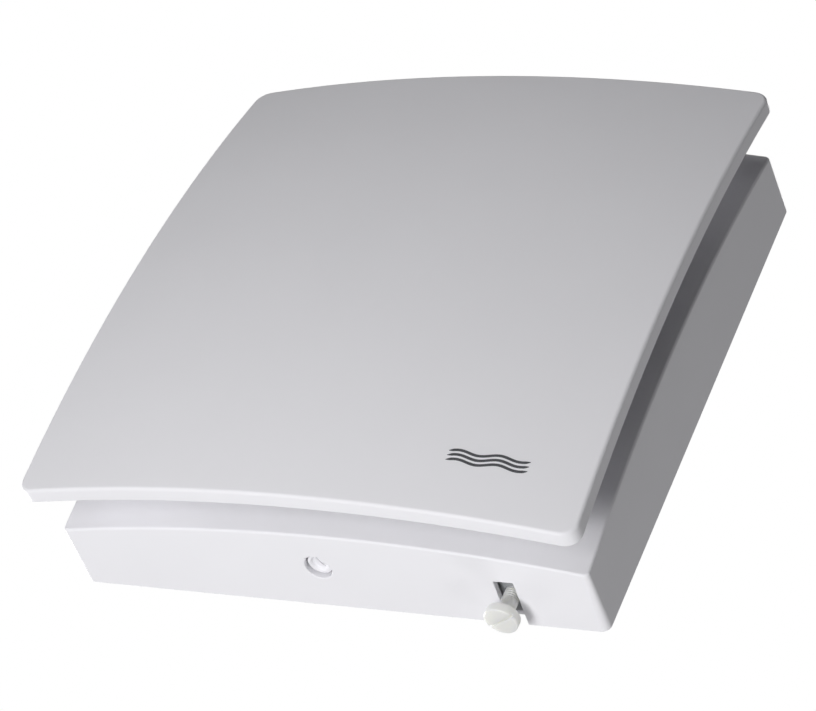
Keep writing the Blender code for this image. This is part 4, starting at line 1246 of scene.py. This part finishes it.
# Pan-head screws: a domed head with a driver slot, its corners (radius, depth, fillet) from head to tip
def makeScrews():
    for n in range(1, 5):
        centre = middleOf(f"fan_screw_{n}")
        corners = [
            (0, 0.0123),
            (0.0018, 0.0122, 0.0008),
            (0.0030, 0.0114, 0.0006),
            (0.0032, 0.0101, 0.0002),
            (0.0016, 0.0101, 0.0002),
            (0.0016, 0.0014, 0.0004),
            (0, 0.0006),
        ]
        screw = solidTurned(f"fanScrew{n}", corners, "steel", centre, 40)
        size, depths = (0.0040, 0.0008), (0.0113, 0.0140)
        slot = slabPiece(f"drive{n}", size, depths, 0.0003, 0.0001, middle=centre, turn=0.7 * n)
        carve(screw, [slot])
        settle(screw, "steel", "base", f"fan_screw_{n}")
    for n in range(1, 4):
        centre = middleOf(f"guide_pin_{n}")
        corners = [
            (0, 0.0305),
            (0.0020, 0.0305, 0.0007),
            (0.0020, 0.0111, 0.0002),
            (0.0034, 0.0111, 0.0003),
            (0.0034, 0.0101, 0.0003),
            (0.0020, 0.0101, 0.0002),
            (0.0020, 0.0076, 0.0004),
            (0, 0.0076),
        ]
        pin = solidTurned(f"guidePin{n}", corners, "steel", centre, 40)
        settle(pin, "steel", "base", f"guide_pin_{n}")
    for n in range(1, 3):
        centre, top = middleOf(f"lid_screw_{n}"), 0.0243
        corners = [
            (0, top + 0.0014),
            (0.0016, top + 0.0012, 0.0006),
            (0.0022, top, 0.0003),
            (0.0011, top, 0.0002),
            (0.0011, 0.0135, 0.0002),
            (0, 0.0130),
        ]
        screw = solidTurned(f"lidScrew{n}", corners, "steel", centre, 32)
        size, depths = (0.0028, 0.0006), (top + 0.0006, top + 0.003)
        cross = slabPiece(f"lidDrive{n}", size, depths, 0.0002, 0.0001, middle=centre, turn=n)
        carve(screw, [cross])
        settle(screw, "steel", "base", f"lid_screw_{n}")


print("fan and motor")
makeFanFrame()
makeImpeller()
makeStator()
makeScrews()

# Shutter

shutter = {
    "radius": 0.077,
    "back": 0.0208,
    "front": 0.0228,
    "arm": ((0.046, -0.052), (0.0818, -0.111)),
    "armWide": 0.012,
}


# The shutter: a disc on three sleeves that slide on the pins, and an arm down to the thumb screw's nut; the
# nut's dark grey finish is painted shade
def makeShutter():
    s = shutter
    back, front = s["back"], s["front"]
    inner = (back + 0.0001, front - 0.0001)
    corners = [(0, front), (s["radius"], front, 0.0006), (s["radius"], back, 0.0006), (0, back)]
    plate = solidTurned("shutterPlate", corners, "white_plastic", around=160)
    parts, cutters = [], []
    for n, (angle, x, z) in enumerate(circlePlaces(3, 90, wallPlate["screwCircle"])):
        parts.append(spokePiece(f"ear{n}", angle, (0.070, wallPlate["screwCircle"]), 0.008, inner, 0.0005))
        sleeve = [(0, back - 0.0035), (0.0048, back - 0.0035, 0.0004), (0.0048, front, 0.0004), (0, front)]
        parts.append(solidTurned(f"sleeve{n}", sleeve, None, (x, z), 48))
        cutters.append(drill(f"guideBore{n}", 0.0024, (0.01, 0.03), (x, z), around=40))
    start, end = (np.array(p) for p in s["arm"])
    run, middle = end - start, (start + end) / 2
    turn = math.atan2(run[1], run[0])
    size = (float(np.hypot(*run)), s["armWide"])
    parts.append(slabPiece("arm", size, inner, 0.002, 0.0005, middle=middle, turn=turn))
    knobLow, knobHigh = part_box("thumb_knob")
    x, y = (knobLow.x + knobHigh.x) / 2, (knobLow.y + knobHigh.y) / 2
    carve(plate, parts, "UNION")
    through, place = (-0.125, -0.094), (x, y, 0)
    carve(plate, cutters + [drill("armBore", 0.0037, through, upright=place)])
    depths = (0.008, front + 0.0001)
    # the nut block is moulded with the white shutter plate; its dark grey finish is painted shade, standing
    # in for the shade that falls on it inside the notch
    nut = slabPiece("shutterNutPaintedShade", (0.012, 0.011), depths, 0.0015, 0.0008, middle=(x, -0.1095))
    carve(nut, [drill("nutBore", 0.0036, through, upright=place)])
    settle(nut, "grey_plastic", "shutter")
    settle(plate, "white_plastic", "shutter", "shutter_plate")
    seal = plainRing("shutterSeal", (0.0660, 0.0755), (0.0172, 0.0205), 0.0010, "foam", 160)
    settle(seal, "foam", "shutter", "shutter_seal")


print("shutter")
makeShutter()

# Grommet and motor lead


# The grommet: a soft disc in the plate's inlet with a groove, a skirt and a shallow cone to cut through
def makeGrommet():
    centre = middleOf("cable_grommet")
    corners = [
        (0, 0.0062),
        (0.0076, 0.0062, 0.0005),
        (0.0076, 0.0046, 0.0004),
        (0.0057, 0.0046, 0.0002),
        (0.0057, 0.0004, 0.0004),
        (0.0040, 0.0004, 0.0003),
        (0.0040, 0.0050, 0.0004),
        (0.0020, 0.0046, 0.0004),
        (0, 0.0050),
    ]
    grommet = solidTurned("cableGrommet", corners, "rubber", centre, 56)
    settle(grommet, "rubber", "base", "cable_grommet")


lead = {"radius": 0.0009, "depth": 0.0112, "from": 0.010, "ring": 0.0755, "bend": 0.016}


# The fan's lead: straight out along its strut, then one cubic curve round to the control box's side,
# with a circle carried along it
def makeLead():
    k = lead
    angle = math.radians(fan["leadAngle"])
    out = np.array([math.cos(angle), math.sin(angle)])
    boxLow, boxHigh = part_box("control_box")
    end = np.array([boxHigh.x - 0.0010, (boxLow.z + boxHigh.z) / 2 + 0.004])
    start = out * k["ring"]
    straight = out * np.linspace(k["from"], k["ring"] - 0.003, 20)[:, None]
    t = np.linspace(0, 1, 40)[:, None]
    bends = (1 - t) ** 3 * start + 3 * (1 - t) ** 2 * t * (start + out * k["bend"])
    bends = bends + 3 * (1 - t) * t**2 * (end + (k["bend"], 0)) + t**3 * end
    path = np.concatenate([straight, bends])
    heading = np.gradient(path, axis=0)
    heading /= np.linalg.norm(heading, axis=1)[:, None]
    side = np.stack([-heading[:, 1], heading[:, 0]], -1)
    around = np.linspace(0, 2 * np.pi, 16, endpoint=False)
    x = path[:, :1] + side[:, :1] * k["radius"] * np.cos(around)
    z = path[:, 1:] + side[:, 1:] * k["radius"] * np.cos(around)
    y = -k["depth"] + k["radius"] * np.sin(around) + 0 * x
    tube = loftMesh("motorLead", np.stack([x, y, z], -1), "black_plastic")
    settle(tube, "black_plastic", "base", "motor_lead")


print("grommet and lead")
makeGrommet()
makeLead()

# Other nodes take their finishes

slotOf = {row["node"]: row["material_slot"] for row in frame["record"]["subparts"]}
for name, node in frame["nodes"].items():
    node.data.materials.clear()
    node.data.materials.append(finishes[slotOf[name]])

# A pale disc far below stands in for the floor; it is staged, so it is no part of the unit
around = np.linspace(0, 2 * np.pi, 64, endpoint=False)
level = 0 * around + studio["floorDepth"]
rings = [np.stack([r * np.cos(around), r * np.sin(around), level], -1) for r in (0.01, 6.0)]
floor = loftMesh("floor", rings, None, caps=(True, False))
floor.data.materials.append(newMaterial("palePaint", (0.82, 0.82, 0.82), 0.8)[0])

print("done")
